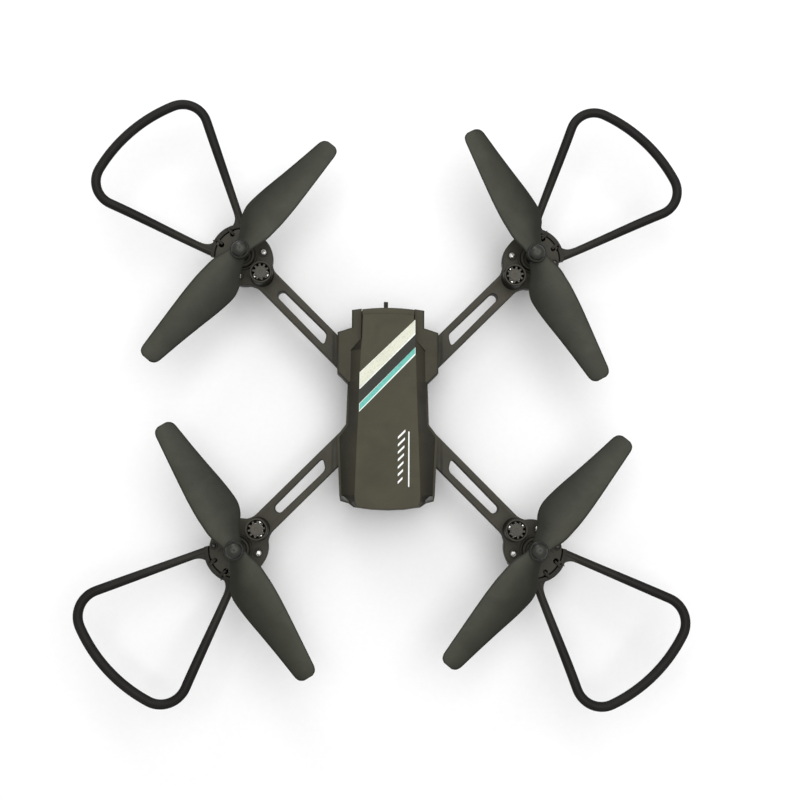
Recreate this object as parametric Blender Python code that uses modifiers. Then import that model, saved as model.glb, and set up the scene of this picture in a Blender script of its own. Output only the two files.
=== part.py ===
"""Mini palm drone: a four-arm toy quadcopter with geared motors and clip-on blade guards.

Frame: +X is the drone's left side, -Y its nose, +Z up. The origin lies on the floor under the
centre of the four propeller axes. Sizes are in millimetres and become metres in finish().
"""
import math

import bmesh
import bpy
from mathutils import Matrix, Vector

MM = 0.001

# ---- layout ---------------------------------------------------------------------------------
AXIS_HALF_SPACING = 72.6      # propeller axis to the centre planes, in X and in Y
CLEARANCE = 0.3               # gap kept between pieces that touch
SHAFT_GAP = 0.35              # running gap round the turning shafts

# ---- heights above the floor ----------------------------------------------------------------
BELLY_Z = 5.0
ARM_BOTTOM_Z = 17.0
ARM_THICKNESS = 6.0
PLATEAU_Z = 34.0
TOWER_HEIGHT = 8.5            # motor tower above the arm
BLADE_Z = 35.6                # middle of the blades

# ---- body -----------------------------------------------------------------------------------
SHELL_WALL = 1.4
TAIL_HALF_WIDTH = 17.9
TAIL_Y = 45.2
TAIL_CROWN = 1.7
SHOULDER_HALF_WIDTH = 24.9
REAR_SHOULDER_SPAN = (8.8, 11.2)      # outer corners, tailwards and nosewards of the arm's line
REAR_SHOULDER_RUN = (2.3, 5.2)        # length of the slope at each of those corners
WAIST_HALF_WIDTH = (19.7, 20.4)                # at its tail end and at its nose end
FRONT_SHOULDER_SPAN = 7.6             # outer corner, tailwards of the arm's line
FRONT_SHOULDER_RUN = 5.7
NOSE_CORNER_Y = -46.5
NOSE_CORNER = ((22.8, -49.1), (18.9, -50.2), (16.2, -52.1))
NOSE_Y = -53.6
PLATEAU_HALF_WIDTH = (12.9, 16.2)              # at the tail and at the nose
CREASE_HALF_WIDTH = 18.3                       # foot of the raised middle over the rear shoulders

# ---- arms and pods --------------------------------------------------------------------------
ARM_WIDTH = 11.6
ARM_ROOT_DEPTH = 11.5         # length of the arm inside the body
ARM_WINDOW_LENGTH = 34.0      # opening in the shells for an arm, from its root outwards
SLOT_START = 26.0             # propeller axis to the near end of the arm's slot
SLOT_END_GAP = 8.5            # far end of the slot to the body
SLOT_WIDTH = (4.4, 5.2)       # at the pod and at the body
PLATE_RADIUS = 13.8
PLATE_SHIFT = 1.6             # the plate is drawn out towards the body by this much
BOSS_RADIUS = 6.4
BOSS_HEIGHT = 2.6
SHAFT_TUBE_RADIUS = 2.7
SHAFT_TUBE_HEIGHT = 8.0
SHAFT_RADIUS = 0.75
SCREW_PLACE = (-6.0, 8.5)     # from the propeller axis, along and across the arm
SCREW_HEAD_RADIUS = 1.45
SCREW_SHANK_RADIUS = 0.8
SCREW_LENGTH = 4.0
PEG_PLACE = (11.8, 3.7)       # guard pegs, along and across the arm
PEG_RADIUS = 0.8
LEAD_RADIUS = 0.5
LEAD_OFFSET = 4.0             # lead channel to the arm's centre line

# ---- drive ----------------------------------------------------------------------------------
MODULE = 0.4
PINION_TEETH = 9
GEAR_TEETH = 60
CENTRE_DISTANCE = MODULE * (PINION_TEETH + GEAR_TEETH) / 2.0
ADDENDUM = 0.36
DEDENDUM = 0.5
TOOTH_THICKNESS = 0.42        # at the pitch circle, thin enough for free running
GEAR_THICKNESS = 2.0
GEAR_HUB_RADIUS = 2.6
MOTOR_RADIUS = 3.5
MOTOR_SHAFT_RADIUS = 0.5
CAP_SEAT = 0.95               # the motor cap's seat is wider than the motor by this much
TOWER_WALL = 1.05
COVER_WALL = 1.0
COVER_FLOOR = 1.4
COVER_DEPTH = 5.7             # pod cover below the arm
FOOT_RADIUS = (4.2, 2.2)      # at the pod cover and at the floor
FOOT_PLACE = -5.0

# ---- propellers -----------------------------------------------------------------------------
PROP_RADIUS = 69.5
PROP_HUB_RADIUS = 4.7
PROP_HUB_HEIGHT = 3.2
PROP_THICKNESS = 1.1
CAP_HEIGHT = 3.3
# share of the radius, straight edge, bulged edge
BLADE_OUTLINE = ((0.05, 4.2, -3.6), (0.13, 6.0, -7.6), (0.19, 6.9, -10.9), (0.26, 7.2, -12.6),
                 (0.33, 7.4, -12.7), (0.45, 7.2, -11.7), (0.60, 6.5, -9.9), (0.76, 5.6, -8.1),
                 (0.90, 4.8, -6.7), (0.955, 4.4, -6.1), (0.985, 3.4, -5.0), (1.0, 1.6, -3.2))
PITCH_ROOT = 13.0             # degrees
PITCH_TIP = 7.0

# ---- blade guards ---------------------------------------------------------------------------
GUARD_REACH = 81.8            # propeller axis to the middle of the rim
GUARD_RIM_RADIUS = 75.0       # curvature of the rim
GUARD_CORNER_RADIUS = 12.5
GUARD_LEG_START = (11.4, 9.8)
GUARD_LEG_ANGLE = 23.5        # degrees from the arm's line
GUARD_SECTION = (4.3, 3.4)    # width and height
GUARD_RISE = 9.0              # rim above the legs' feet
GUARD_BASE_WIDTH = 2.5
GUARD_BASE_HALF_ANGLE = 52.0

# ---- inside and at the ends of the body -----------------------------------------------------
BATTERY_SIZE = (26.0, 42.0, 9.0)
BATTERY_Y = 19.0
DOOR_SIZE = (30.0, 48.0, 2.1)  # over its side tongues
DOOR_FRONT_Y = -6.0
DOOR_TONGUE = (1.8, 1.2)      # width and height of the tongues that ride on the shell's lips
BOARD_SIZE = (33.0, 45.0, 1.2)
BOARD_Y = -13.0
BOARD_Z = 24.4
POST_RADIUS = 1.8
POST_PLACES = ((14.4, -31.0), (15.2, 4.0))
TAIL_PANEL_HALF_WIDTH = 12.8
TAIL_PANEL_THICKNESS = 1.8
SWITCH_Z = 27.0
SWITCH_TRAVEL = 2.2
LEVER_SIZE = (2.0, 6.4, 1.8)
SWITCH_SIZE = (9.0, 3.6, 4.6)
LENS_Z = (22.4, 27.6)

# name, side of the drone, nose or tail, blade direction (degrees), True where it turns clockwise
PODS = (
    ("rear_right", -1, 1, 50.0, True),
    ("rear_left", 1, 1, 118.0, False),
    ("front_right", -1, -1, 121.6, False),
    ("front_left", 1, -1, 50.5, True),
)

# ---- places that follow ---------------------------------------------------------------------
SHOULDER_REACH = (AXIS_HALF_SPACING - SHOULDER_HALF_WIDTH) * math.sqrt(2.0)
ARM_ROOT_REACH = SHOULDER_REACH + ARM_ROOT_DEPTH
SLOT_SPAN = (SLOT_START, SHOULDER_REACH - SLOT_END_GAP)
FRONT_SHOULDER_Y = FRONT_SHOULDER_SPAN - SHOULDER_HALF_WIDTH
TOWER_BORE = MOTOR_RADIUS + CAP_SEAT
TOWER_RADIUS = TOWER_BORE + TOWER_WALL
ARM_TOP_Z = ARM_BOTTOM_Z + ARM_THICKNESS
SEAM_Z = ARM_BOTTOM_Z + ARM_THICKNESS / 2.0
TOWER_TOP_Z = ARM_TOP_Z + TOWER_HEIGHT
COVER_BOTTOM_Z = ARM_BOTTOM_Z - CLEARANCE - COVER_DEPTH
CHAMBER_FLOOR_Z = COVER_BOTTOM_Z + COVER_FLOOR
GEAR_BOTTOM_Z = CHAMBER_FLOOR_Z + 0.9
GEAR_TIP_RADIUS = MODULE * GEAR_TEETH / 2.0 + ADDENDUM
PINION_TIP_RADIUS = MODULE * PINION_TEETH / 2.0 + ADDENDUM
CHAMBER_RADIUS = GEAR_TIP_RADIUS + 0.6
COVER_RADIUS = CHAMBER_RADIUS + COVER_WALL
PROP_HUB_BOTTOM_Z = BLADE_Z - PROP_HUB_HEIGHT / 2.0
PROP_HUB_TOP_Z = BLADE_Z + PROP_HUB_HEIGHT / 2.0
DOOR_TOP_Z = BELLY_Z + DOOR_SIZE[2]


# ---- scene and materials --------------------------------------------------------------------
def clear_scene():
    for item in list(bpy.data.objects):
        bpy.data.objects.remove(item, do_unlink=True)


def make_collection(name):
    collection = bpy.data.collections.new(name)
    bpy.context.scene.collection.children.link(collection)
    return collection


def make_material(name, colour, roughness, metallic=0.0):
    material = bpy.data.materials.new(name)
    material.use_nodes = True
    shader = material.node_tree.nodes["Principled BSDF"]
    shader.inputs["Base Color"].default_value = (*colour, 1.0)
    shader.inputs["Roughness"].default_value = roughness
    shader.inputs["Metallic"].default_value = metallic
    material.diffuse_color = (*colour, 1.0)
    return material


clear_scene()
DRONE = make_collection("mini_palm_drone")
CUTTERS = make_collection("cutters")
SHELL = make_material("satin_shell", (0.075, 0.070, 0.055), 0.5)
DARK = make_material("dark_plastic", (0.035, 0.032, 0.028), 0.45)
BLADE = make_material("blade_plastic", (0.055, 0.052, 0.044), 0.4)
COVER = make_material("pod_cover_plastic", (0.11, 0.105, 0.095), 0.55)
STEEL = make_material("steel", (0.62, 0.62, 0.60), 0.3, 1.0)
NYLON = make_material("white_nylon", (0.75, 0.74, 0.68), 0.5)
BOARD = make_material("green_board", (0.02, 0.12, 0.05), 0.5)
WRAP = make_material("battery_wrap", (0.06, 0.16, 0.35), 0.4)
LENS = make_material("clear_lens", (0.75, 0.78, 0.80), 0.1)
WIRE = make_material("lead_insulation", (0.45, 0.03, 0.03), 0.5)


# ---- mesh helpers ---------------------------------------------------------------------------
def prism(outline, bottom, top):
    """A flat outline, counter-clockwise from above, pulled up from bottom to top."""
    bm = bmesh.new()
    face = bm.faces.new([bm.verts.new((x, y, bottom)) for x, y in outline])
    pulled = bmesh.ops.extrude_face_region(bm, geom=[face])
    raised = [item for item in pulled["geom"] if isinstance(item, bmesh.types.BMVert)]
    bmesh.ops.translate(bm, verts=raised, vec=(0.0, 0.0, top - bottom))
    return bm


def box(size, centre):
    bm = bmesh.new()
    bmesh.ops.create_cube(bm, size=1.0)
    bmesh.ops.scale(bm, vec=size, verts=bm.verts)
    bmesh.ops.translate(bm, vec=centre, verts=bm.verts)
    return bm


def rod(radius, bottom, top, place=(0.0, 0.0), segments=24, top_radius=None):
    bm = bmesh.new()
    bmesh.ops.create_cone(bm, cap_ends=True, segments=segments, radius1=radius,
                          radius2=radius if top_radius is None else top_radius,
                          depth=top - bottom)
    bmesh.ops.translate(bm, vec=(place[0], place[1], (top + bottom) / 2.0), verts=bm.verts)
    return bm


def loft(rings):
    """Closed skin through rings of equal point counts, with a face at each end."""
    bm = bmesh.new()
    loops = [[bm.verts.new(point) for point in ring] for ring in rings]
    count = len(rings[0])
    for low, high in zip(loops, loops[1:]):
        for i in range(count):
            j = (i + 1) % count
            bm.faces.new((low[i], low[j], high[j], high[i]))
    bm.faces.new(list(reversed(loops[0])))
    bm.faces.new(loops[-1])
    return bm


def inset(outline, distance):
    """The outline moved inwards by distance, corner by corner."""
    result = []
    for i, point in enumerate(outline):
        before = Vector(outline[i - 1])
        here = Vector(point)
        after = Vector(outline[(i + 1) % len(outline)])
        first = (here - before).normalized()
        second = (after - here).normalized()
        normals = Vector((-first.y, first.x)), Vector((-second.y, second.x))
        total = normals[0] + normals[1]
        result.append(tuple(here + total * distance / (1.0 + normals[0].dot(normals[1]))))
    return result


def finish(bm, name, material, collection=None, smooth=30.0):
    """Turns a millimetre bmesh into a metre object."""
    bmesh.ops.scale(bm, vec=(MM, MM, MM), verts=bm.verts)
    bmesh.ops.recalc_face_normals(bm, faces=bm.faces)
    mesh = bpy.data.meshes.new(name)
    bm.to_mesh(mesh)
    bm.free()
    item = bpy.data.objects.new(name, mesh)
    (collection or DRONE).objects.link(item)
    if material:
        mesh.materials.append(material)
    mesh.shade_smooth()
    mesh.set_sharp_from_angle(angle=math.radians(smooth))
    return item


def combine(item, tools, operation):
    """Adds one Boolean for each tool, and keeps the tools out of sight."""
    for index, tool in enumerate(tools):
        cutter = finish(tool, f"{item.name}_{operation.lower()}_{index}", None, CUTTERS)
        cutter.hide_render = True
        cutter.display_type = "WIRE"
        step = item.modifiers.new(cutter.name, "BOOLEAN")
        step.operation = operation
        step.solver = "EXACT"
        step.object = cutter
    return item


def settle(item):
    """Makes the Booleans permanent, so that copies can share one mesh."""
    tools = [step.object for step in item.modifiers if step.type == "BOOLEAN"]
    graph = bpy.context.evaluated_depsgraph_get()
    mesh = bpy.data.meshes.new_from_object(item.evaluated_get(graph))
    mesh.name = item.name
    item.modifiers.clear()
    item.data = mesh
    mesh.shade_smooth()
    mesh.set_sharp_from_angle(angle=math.radians(30.0))
    for tool in tools:
        bpy.data.objects.remove(tool, do_unlink=True)
    return item


# ---- body outlines --------------------------------------------------------------------------
def body_half_outline():
    """The left half of the body from the middle of the tail round to the middle of the nose."""
    out_a = SHOULDER_HALF_WIDTH + REAR_SHOULDER_SPAN[0]
    out_b = SHOULDER_HALF_WIDTH - REAR_SHOULDER_SPAN[1]
    points = [(0.0, TAIL_Y + TAIL_CROWN), (TAIL_HALF_WIDTH * 0.5, TAIL_Y + TAIL_CROWN * 0.78),
              (TAIL_HALF_WIDTH, TAIL_Y),
              (TAIL_HALF_WIDTH, out_a + REAR_SHOULDER_RUN[0]),
              (SHOULDER_HALF_WIDTH, out_a), (SHOULDER_HALF_WIDTH, out_b),
              (WAIST_HALF_WIDTH[0], out_b - REAR_SHOULDER_RUN[1]),
              (WAIST_HALF_WIDTH[1], FRONT_SHOULDER_Y + FRONT_SHOULDER_RUN),
              (SHOULDER_HALF_WIDTH - 0.2, FRONT_SHOULDER_Y),
              (SHOULDER_HALF_WIDTH - 1.6, NOSE_CORNER_Y)]
    points += list(NOSE_CORNER)
    points += [(NOSE_CORNER[2][0] * 0.5, NOSE_Y + 0.35), (0.0, NOSE_Y)]
    return points


def plateau_half_width(y):
    share = (TAIL_Y - y) / (TAIL_Y - NOSE_Y)
    return PLATEAU_HALF_WIDTH[0] + (PLATEAU_HALF_WIDTH[1] - PLATEAU_HALF_WIDTH[0]) * share


def whole_outline(half):
    """Mirrors a half outline and runs it counter-clockwise from above."""
    right = [(-x, y) for x, y in half]
    left = [point for point in reversed(half) if point[0] > 0.0]
    return right + left


def drawn_in(half, limit):
    """A half outline whose width is capped by limit(x, y)."""
    return [(min(x, limit(x, y)) if x > 0.0 else 0.0, y) for x, y in half]


def body_rings(lift=0.0, wall=0.0):
    """Sections of the upper shell, from its seam to its raised middle."""
    half = body_half_outline()

    def crease(x, y):
        return CREASE_HALF_WIDTH if y > FRONT_SHOULDER_Y + FRONT_SHOULDER_RUN + 1.0 else x - 1.6

    def upper(x, y):
        return plateau_half_width(y)

    ends = (0.0, 0.25, 0.6, 1.0)
    caps = (lambda x, y: x, lambda x, y: x - 0.35, crease, upper)
    heights = (SEAM_Z + CLEARANCE / 2.0 - lift, 26.4, 30.0, PLATEAU_Z - wall)
    rings = []
    for share, cap, height in zip(ends, caps, heights):
        outline = [(x, y * (1.0 - 0.008 * share)) for x, y in drawn_in(half, cap)]
        outline = inset(whole_outline(outline), wall)
        rings.append([(x, y, height) for x, y in outline])
    return rings


def belly_rings(lift=0.0, wall=0.0):
    """Sections of the lower shell, from the belly up to the seam."""
    outline = whole_outline(body_half_outline())
    levels = ((4.0, BELLY_Z + wall), (1.2, BELLY_Z + 4.0 + wall * 0.5),
              (0.0, SEAM_Z - CLEARANCE / 2.0 + lift))
    rings = []
    for draw, height in levels:
        points = inset(outline, draw + wall)
        rings.append([(x, y, height) for x, y in points])
    return rings


# ---- pod frame ------------------------------------------------------------------------------
def pod_angle(side, end):
    return math.atan2(end, side)


def pod_matrix(side, end):
    """Pod frame: origin under the propeller axis, +X outwards along the arm."""
    place = Vector((side, end, 0.0)) * AXIS_HALF_SPACING
    return Matrix.Translation(place) @ Matrix.Rotation(pod_angle(side, end), 4, "Z")


def in_body_frame(bm, side, end):
    bmesh.ops.transform(bm, matrix=pod_matrix(side, end), verts=bm.verts)
    return bm


def slot_outline():
    near, far = SLOT_SPAN
    half_near, half_far = SLOT_WIDTH[0] / 2.0, SLOT_WIDTH[1] / 2.0
    points = [(-near - half_near + half_near * math.sin(a), half_near * math.cos(a))
              for a in (math.pi * k / 8.0 for k in range(9))]
    return list(reversed(points)) + [(-far + 1.2, half_far), (-far, half_far - 1.2),
                                     (-far, -half_far + 1.2), (-far + 1.2, -half_far)]


def arm_template():
    """Arm moulding: beam, pod plate, shaft boss and motor tower."""
    beam_inner = -5.0
    beam = box((ARM_ROOT_REACH + beam_inner, ARM_WIDTH, ARM_THICKNESS),
               ((-ARM_ROOT_REACH + beam_inner) / 2.0, 0.0, SEAM_Z))
    item = finish(beam, "arm", DARK)
    drawn = [(PLATE_RADIUS * math.cos(a) - (PLATE_SHIFT if math.cos(a) < -1e-6 else 0.0),
              PLATE_RADIUS * math.sin(a)) for a in (math.tau * (k + 0.5) / 32 for k in range(32))]
    tower_place = (-CENTRE_DISTANCE, 0.0)
    tube_top = ARM_TOP_Z + SHAFT_TUBE_HEIGHT
    combine(item, [
        prism(drawn, ARM_BOTTOM_Z + 0.02, ARM_TOP_Z + 0.02),
        rod(BOSS_RADIUS, ARM_TOP_Z - 1.0, ARM_TOP_Z + BOSS_HEIGHT, segments=20,
            top_radius=BOSS_RADIUS - 0.6),
        rod(SHAFT_TUBE_RADIUS, ARM_TOP_Z, tube_top, segments=14),
        rod(TOWER_RADIUS, ARM_BOTTOM_Z + 0.04, TOWER_TOP_Z, tower_place, segments=24),
    ], "UNION")
    channel = box((ARM_ROOT_REACH, 3.2 * LEAD_RADIUS, 3.2 * LEAD_RADIUS),
                  (-ARM_ROOT_REACH / 2.0 - CENTRE_DISTANCE - 6.5, LEAD_OFFSET, ARM_BOTTOM_Z))
    cuts = [
        rod(SHAFT_RADIUS + SHAFT_GAP, ARM_BOTTOM_Z - 1.0, tube_top + 1.0, segments=12),
        rod(MOTOR_RADIUS + CLEARANCE, ARM_BOTTOM_Z - 1.0, TOWER_TOP_Z + 1.0, tower_place, 16),
        rod(TOWER_BORE, ARM_TOP_Z + 1.0, TOWER_TOP_Z + 2.0, tower_place, 20),
        prism(slot_outline(), ARM_BOTTOM_Z - 1.0, ARM_TOP_Z + 1.0),
        channel,
    ]
    for sign in (-1.0, 1.0):
        cuts.append(rod(SCREW_SHANK_RADIUS + CLEARANCE, ARM_TOP_Z - SCREW_LENGTH - 0.4,
                        ARM_TOP_Z + 1.0, (SCREW_PLACE[0], sign * SCREW_PLACE[1]), 8))
        cuts.append(rod(PEG_RADIUS + 0.5, ARM_BOTTOM_Z - 1.0, ARM_TOP_Z + 1.0,
                        (PEG_PLACE[0], sign * PEG_PLACE[1]), 8))
    combine(item, cuts, "DIFFERENCE")
    return settle(item)


def pod_cover_template():
    """Cup under the arm that closes the gear chamber and carries the foot."""
    top = ARM_BOTTOM_Z - CLEARANCE
    tower_place = (-CENTRE_DISTANCE, 0.0)
    item = finish(rod(COVER_RADIUS, COVER_BOTTOM_Z, top, segments=32), "pod_cover", COVER)
    combine(item, [
        rod(TOWER_RADIUS, COVER_BOTTOM_Z + 0.03, top - 0.03, tower_place, 20),
        rod(FOOT_RADIUS[1], 0.0, COVER_BOTTOM_Z + 0.5, (FOOT_PLACE, 0.0), 12, FOOT_RADIUS[0]),
    ], "UNION")
    combine(item, [
        rod(CHAMBER_RADIUS, CHAMBER_FLOOR_Z, top + 1.0, segments=32),
        rod(PINION_TIP_RADIUS + 1.1, CHAMBER_FLOOR_Z + 0.03, top + 1.1, tower_place, 14),
    ], "DIFFERENCE")
    return settle(item)


def gear_outline(teeth, phase):
    """Straight-sided teeth with four corners each."""
    pitch = MODULE * teeth / 2.0
    root, tip = pitch - DEDENDUM, pitch + ADDENDUM
    points = []
    for k in range(teeth):
        middle = phase + math.tau * k / teeth
        foot = 0.72 * TOOTH_THICKNESS / root
        crown = 0.26 * TOOTH_THICKNESS / tip
        for radius, angle in ((root, -foot), (tip, -crown), (tip, crown), (root, foot)):
            points.append((radius * math.cos(middle + angle), radius * math.sin(middle + angle)))
    return points


def gear_template():
    """Large gear with its hub; a tooth space faces the pinion."""
    item = finish(prism(gear_outline(GEAR_TEETH, math.pi / GEAR_TEETH), GEAR_BOTTOM_Z,
                        GEAR_BOTTOM_Z + GEAR_THICKNESS), "spur_gear", NYLON, smooth=20.0)
    top = ARM_BOTTOM_Z - 0.5
    combine(item, [rod(GEAR_HUB_RADIUS, GEAR_BOTTOM_Z + 0.5, top, segments=12)], "UNION")
    combine(item, [rod(SHAFT_RADIUS + CLEARANCE, GEAR_BOTTOM_Z - 1.0, top + 1.0, segments=8)],
            "DIFFERENCE")
    return settle(item)


def pinion_template():
    """Pinion and motor shaft; a tooth faces the large gear."""
    bottom = GEAR_BOTTOM_Z - 0.3
    item = finish(prism(gear_outline(PINION_TEETH, 0.0), bottom, bottom + 2.6), "pinion", STEEL,
                  smooth=20.0)
    combine(item, [rod(MOTOR_SHAFT_RADIUS, bottom + 1.0, ARM_BOTTOM_Z + 5.0, segments=10)],
            "UNION")
    return settle(item)


def turned(name, profile, material, segments):
    """A profile (radius, height), down its outer side, turned about the Z axis."""
    mesh = bpy.data.meshes.new(name)
    points = [(radius * MM, 0.0, height * MM) for radius, height in profile]
    mesh.from_pydata(points, [(i, i + 1) for i in range(len(points) - 1)], [])
    mesh.materials.append(material)
    item = bpy.data.objects.new(name, mesh)
    DRONE.objects.link(item)
    screw = item.modifiers.new("turn", "SCREW")
    screw.axis = "Z"
    screw.steps = segments
    screw.render_steps = segments
    screw.use_merge_vertices = True
    screw.merge_threshold = 0.00001
    return settle(item)


def motor_template():
    """Motor can with the bearing bore that its shaft turns in."""
    bottom, top = ARM_BOTTOM_Z - 0.1, TOWER_TOP_Z - 1.4
    bore = MOTOR_SHAFT_RADIUS + CLEARANCE
    profile = [(0.0, top), (MOTOR_RADIUS - 0.4, top), (MOTOR_RADIUS, top - 0.4),
               (MOTOR_RADIUS, bottom + 0.4), (MOTOR_RADIUS - 0.4, bottom), (bore, bottom),
               (bore, ARM_BOTTOM_Z + 5.6), (0.0, ARM_BOTTOM_Z + 5.6)]
    return turned("motor", profile, STEEL, 20)


def motor_cap_template():
    """Notched end cap of the motor, seated in the tower's mouth."""
    low, high = TOWER_TOP_Z - 1.1, TOWER_TOP_Z - 0.1
    outer = TOWER_BORE - CLEARANCE
    count = 10
    points = []
    for k in range(count):
        middle = math.tau * k / count
        for radius, share in ((outer, -0.32), (outer, 0.32), (outer - 0.7, 0.36),
                              (outer - 0.7, 0.64)):
            angle = middle + share * math.tau / count
            points.append((radius * math.cos(angle), radius * math.sin(angle)))
    item = finish(prism(points, low, high), "motor_cap", COVER)
    combine(item, [rod(0.7, high - 0.5, high + 1.0, segments=10)], "DIFFERENCE")
    return settle(item)


def guard_path():
    """Middle line of the guard's left half: leg, corner and rim, as (u, v) points."""
    angle = math.radians(GUARD_LEG_ANGLE)
    start = Vector(GUARD_LEG_START)
    along = Vector((math.cos(angle), math.sin(angle)))
    inward = Vector((math.sin(angle), -math.cos(angle)))
    rim_centre = Vector((GUARD_REACH - GUARD_RIM_RADIUS, 0.0))
    foot = start + inward * GUARD_CORNER_RADIUS - rim_centre
    reach = GUARD_RIM_RADIUS - GUARD_CORNER_RADIUS
    forward = foot.dot(along)
    length = -forward + math.sqrt(forward ** 2 - foot.length_squared + reach ** 2)
    centre = start + along * length + inward * GUARD_CORNER_RADIUS
    ray = (centre - rim_centre).normalized()
    turn_start = math.atan2(-inward.y, -inward.x)
    turn_end = math.atan2(ray.y, ray.x)
    points = [start + along * length * k / 5.0 for k in range(5)]
    points += [centre + GUARD_CORNER_RADIUS * Vector((math.cos(a), math.sin(a)))
               for a in (turn_start + (turn_end - turn_start) * k / 5.0 for k in range(6))]
    points += [rim_centre + GUARD_RIM_RADIUS * Vector((math.cos(a), math.sin(a)))
               for a in (turn_end * (1.0 - k / 3.0) for k in range(1, 4))]
    return points


def guard_template():
    """Guard loop with a crescent foot and two hooks that peg into the pod plate."""
    half = guard_path()
    path = half + [Vector((p.x, -p.y)) for p in reversed(half[:-1])]
    foot_z = ARM_TOP_Z - GUARD_SECTION[1] / 2.0
    width, height = GUARD_SECTION[0] / 2.0, GUARD_SECTION[1] / 2.0
    section = ((-width, 0.0), (-width * 0.55, -height), (width * 0.55, -height),
               (width, 0.0), (width * 0.55, height), (-width * 0.55, height))
    rings = []
    for i, point in enumerate(path):
        ahead = path[min(i + 1, len(path) - 1)] - path[max(i - 1, 0)]
        side = Vector((ahead.y, -ahead.x)).normalized()
        share = min((point.x - GUARD_LEG_START[0]) / (60.0 - GUARD_LEG_START[0]), 1.0)
        level = foot_z + GUARD_RISE * share * share * (3.0 - 2.0 * share)
        rings.append([(point.x + side.x * a, point.y + side.y * a, level + b)
                      for a, b in section])
    item = finish(loft(rings), "guard", DARK)
    inner, outer = PLATE_RADIUS + CLEARANCE, PLATE_RADIUS + CLEARANCE + GUARD_BASE_WIDTH
    limit = math.radians(GUARD_BASE_HALF_ANGLE)
    arc = [limit * (2.0 * k / 14.0 - 1.0) for k in range(15)]
    crescent = [(outer * math.cos(a), outer * math.sin(a)) for a in arc]
    crescent += [(inner * math.cos(a), inner * math.sin(a)) for a in reversed(arc)]
    parts = [prism(crescent, ARM_TOP_Z - 4.2, ARM_TOP_Z + 0.05)]
    for sign in (-1.0, 1.0):
        across = sign * PEG_PLACE[1]
        reach = outer - 1.0 - PEG_PLACE[0] + 1.2
        parts.append(box((reach, 2.2, 1.3), (PEG_PLACE[0] - 1.2 + reach / 2.0, across,
                                             ARM_TOP_Z + CLEARANCE + 0.65)))
        parts.append(box((1.2, 2.2, 1.6), (outer - 1.0 - 0.6, across, ARM_TOP_Z + 0.4)))
        parts.append(rod(PEG_RADIUS, ARM_TOP_Z - 4.0, ARM_TOP_Z + CLEARANCE + 0.4,
                         (PEG_PLACE[0], across), 10))
    combine(item, parts, "UNION")
    return settle(item)


def propeller_template():
    """Two-blade propeller that turns counter-clockwise, blades along X."""
    item = finish(rod(PROP_HUB_RADIUS, PROP_HUB_BOTTOM_Z, PROP_HUB_TOP_Z, segments=24),
                  "propeller", BLADE)
    blades = []
    for turn in (0.0, math.pi):
        rings = []
        for share, lead, trail in BLADE_OUTLINE:
            pitch = math.radians(PITCH_ROOT + (PITCH_TIP - PITCH_ROOT) * share)
            thick = PROP_THICKNESS * (1.0 - 0.45 * share) / 2.0
            ring = []
            for position, rise in ((0.0, 0.0), (0.3, 1.0), (0.7, 1.0), (1.0, 0.15),
                                   (0.7, -0.8), (0.3, -0.8)):
                y = lead + (trail - lead) * position
                ring.append((share * PROP_RADIUS, y, BLADE_Z + y * math.tan(pitch) + rise * thick))
            rings.append(ring)
        blade = loft(rings)
        bmesh.ops.rotate(blade, cent=(0.0, 0.0, 0.0), verts=blade.verts,
                         matrix=Matrix.Rotation(turn, 3, "Z"))
        blades.append(blade)
    combine(item, blades, "UNION")
    combine(item, [rod(SHAFT_RADIUS + CLEARANCE, PROP_HUB_BOTTOM_Z - 1.0, PROP_HUB_TOP_Z + 1.0,
                       segments=12)], "DIFFERENCE")
    return settle(item)


def spinner_template():
    """Domed cap over the propeller's hub."""
    base = PROP_HUB_TOP_Z + CLEARANCE
    wall = 0.9
    radius = PROP_HUB_RADIUS
    profile = [(radius * math.sin(a), base + 0.8 + (CAP_HEIGHT - 0.8) * math.cos(a))
               for a in (math.pi / 2.0 * k / 5.0 for k in range(6))]
    profile += [(radius, base), (0.0, base)]
    item = turned("spinner_cap", profile, DARK, 16)
    combine(item, [rod(radius - wall, base - 1.0, base + 0.9, segments=12)], "DIFFERENCE")
    return settle(item)


def screw_template():
    """Pan-head screw that stands on the pod plate."""
    low = ARM_TOP_Z + CLEARANCE
    profile = [(0.0, low + 0.95), (SCREW_HEAD_RADIUS - 0.5, low + 0.9),
               (SCREW_HEAD_RADIUS, low + 0.45), (SCREW_HEAD_RADIUS, low),
               (SCREW_SHANK_RADIUS, low), (SCREW_SHANK_RADIUS, ARM_TOP_Z - SCREW_LENGTH + 0.6),
               (0.0, ARM_TOP_Z - SCREW_LENGTH)]
    return turned("pod_screw", profile, STEEL, 12)


def lead_template():
    """Pair of motor leads, laid as one round cord in the arm's lower channel."""
    start, end = -CENTRE_DISTANCE - 7.4, -ARM_ROOT_REACH + 2.0
    curve = bpy.data.curves.new("motor_lead", "CURVE")
    curve.dimensions = "3D"
    curve.bevel_depth = LEAD_RADIUS * MM
    curve.bevel_resolution = 2
    curve.use_fill_caps = True
    spline = curve.splines.new("POLY")
    count = 20
    spline.points.add(count - 1)
    for k, point in enumerate(spline.points):
        along = start + (end - start) * k / (count - 1)
        point.co = (along * MM, LEAD_OFFSET * MM, (ARM_BOTTOM_Z + LEAD_RADIUS / 2.0) * MM, 1.0)
    maker = bpy.data.objects.new("motor_lead", curve)
    DRONE.objects.link(maker)
    return solid_from_curve(maker, WIRE)


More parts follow.
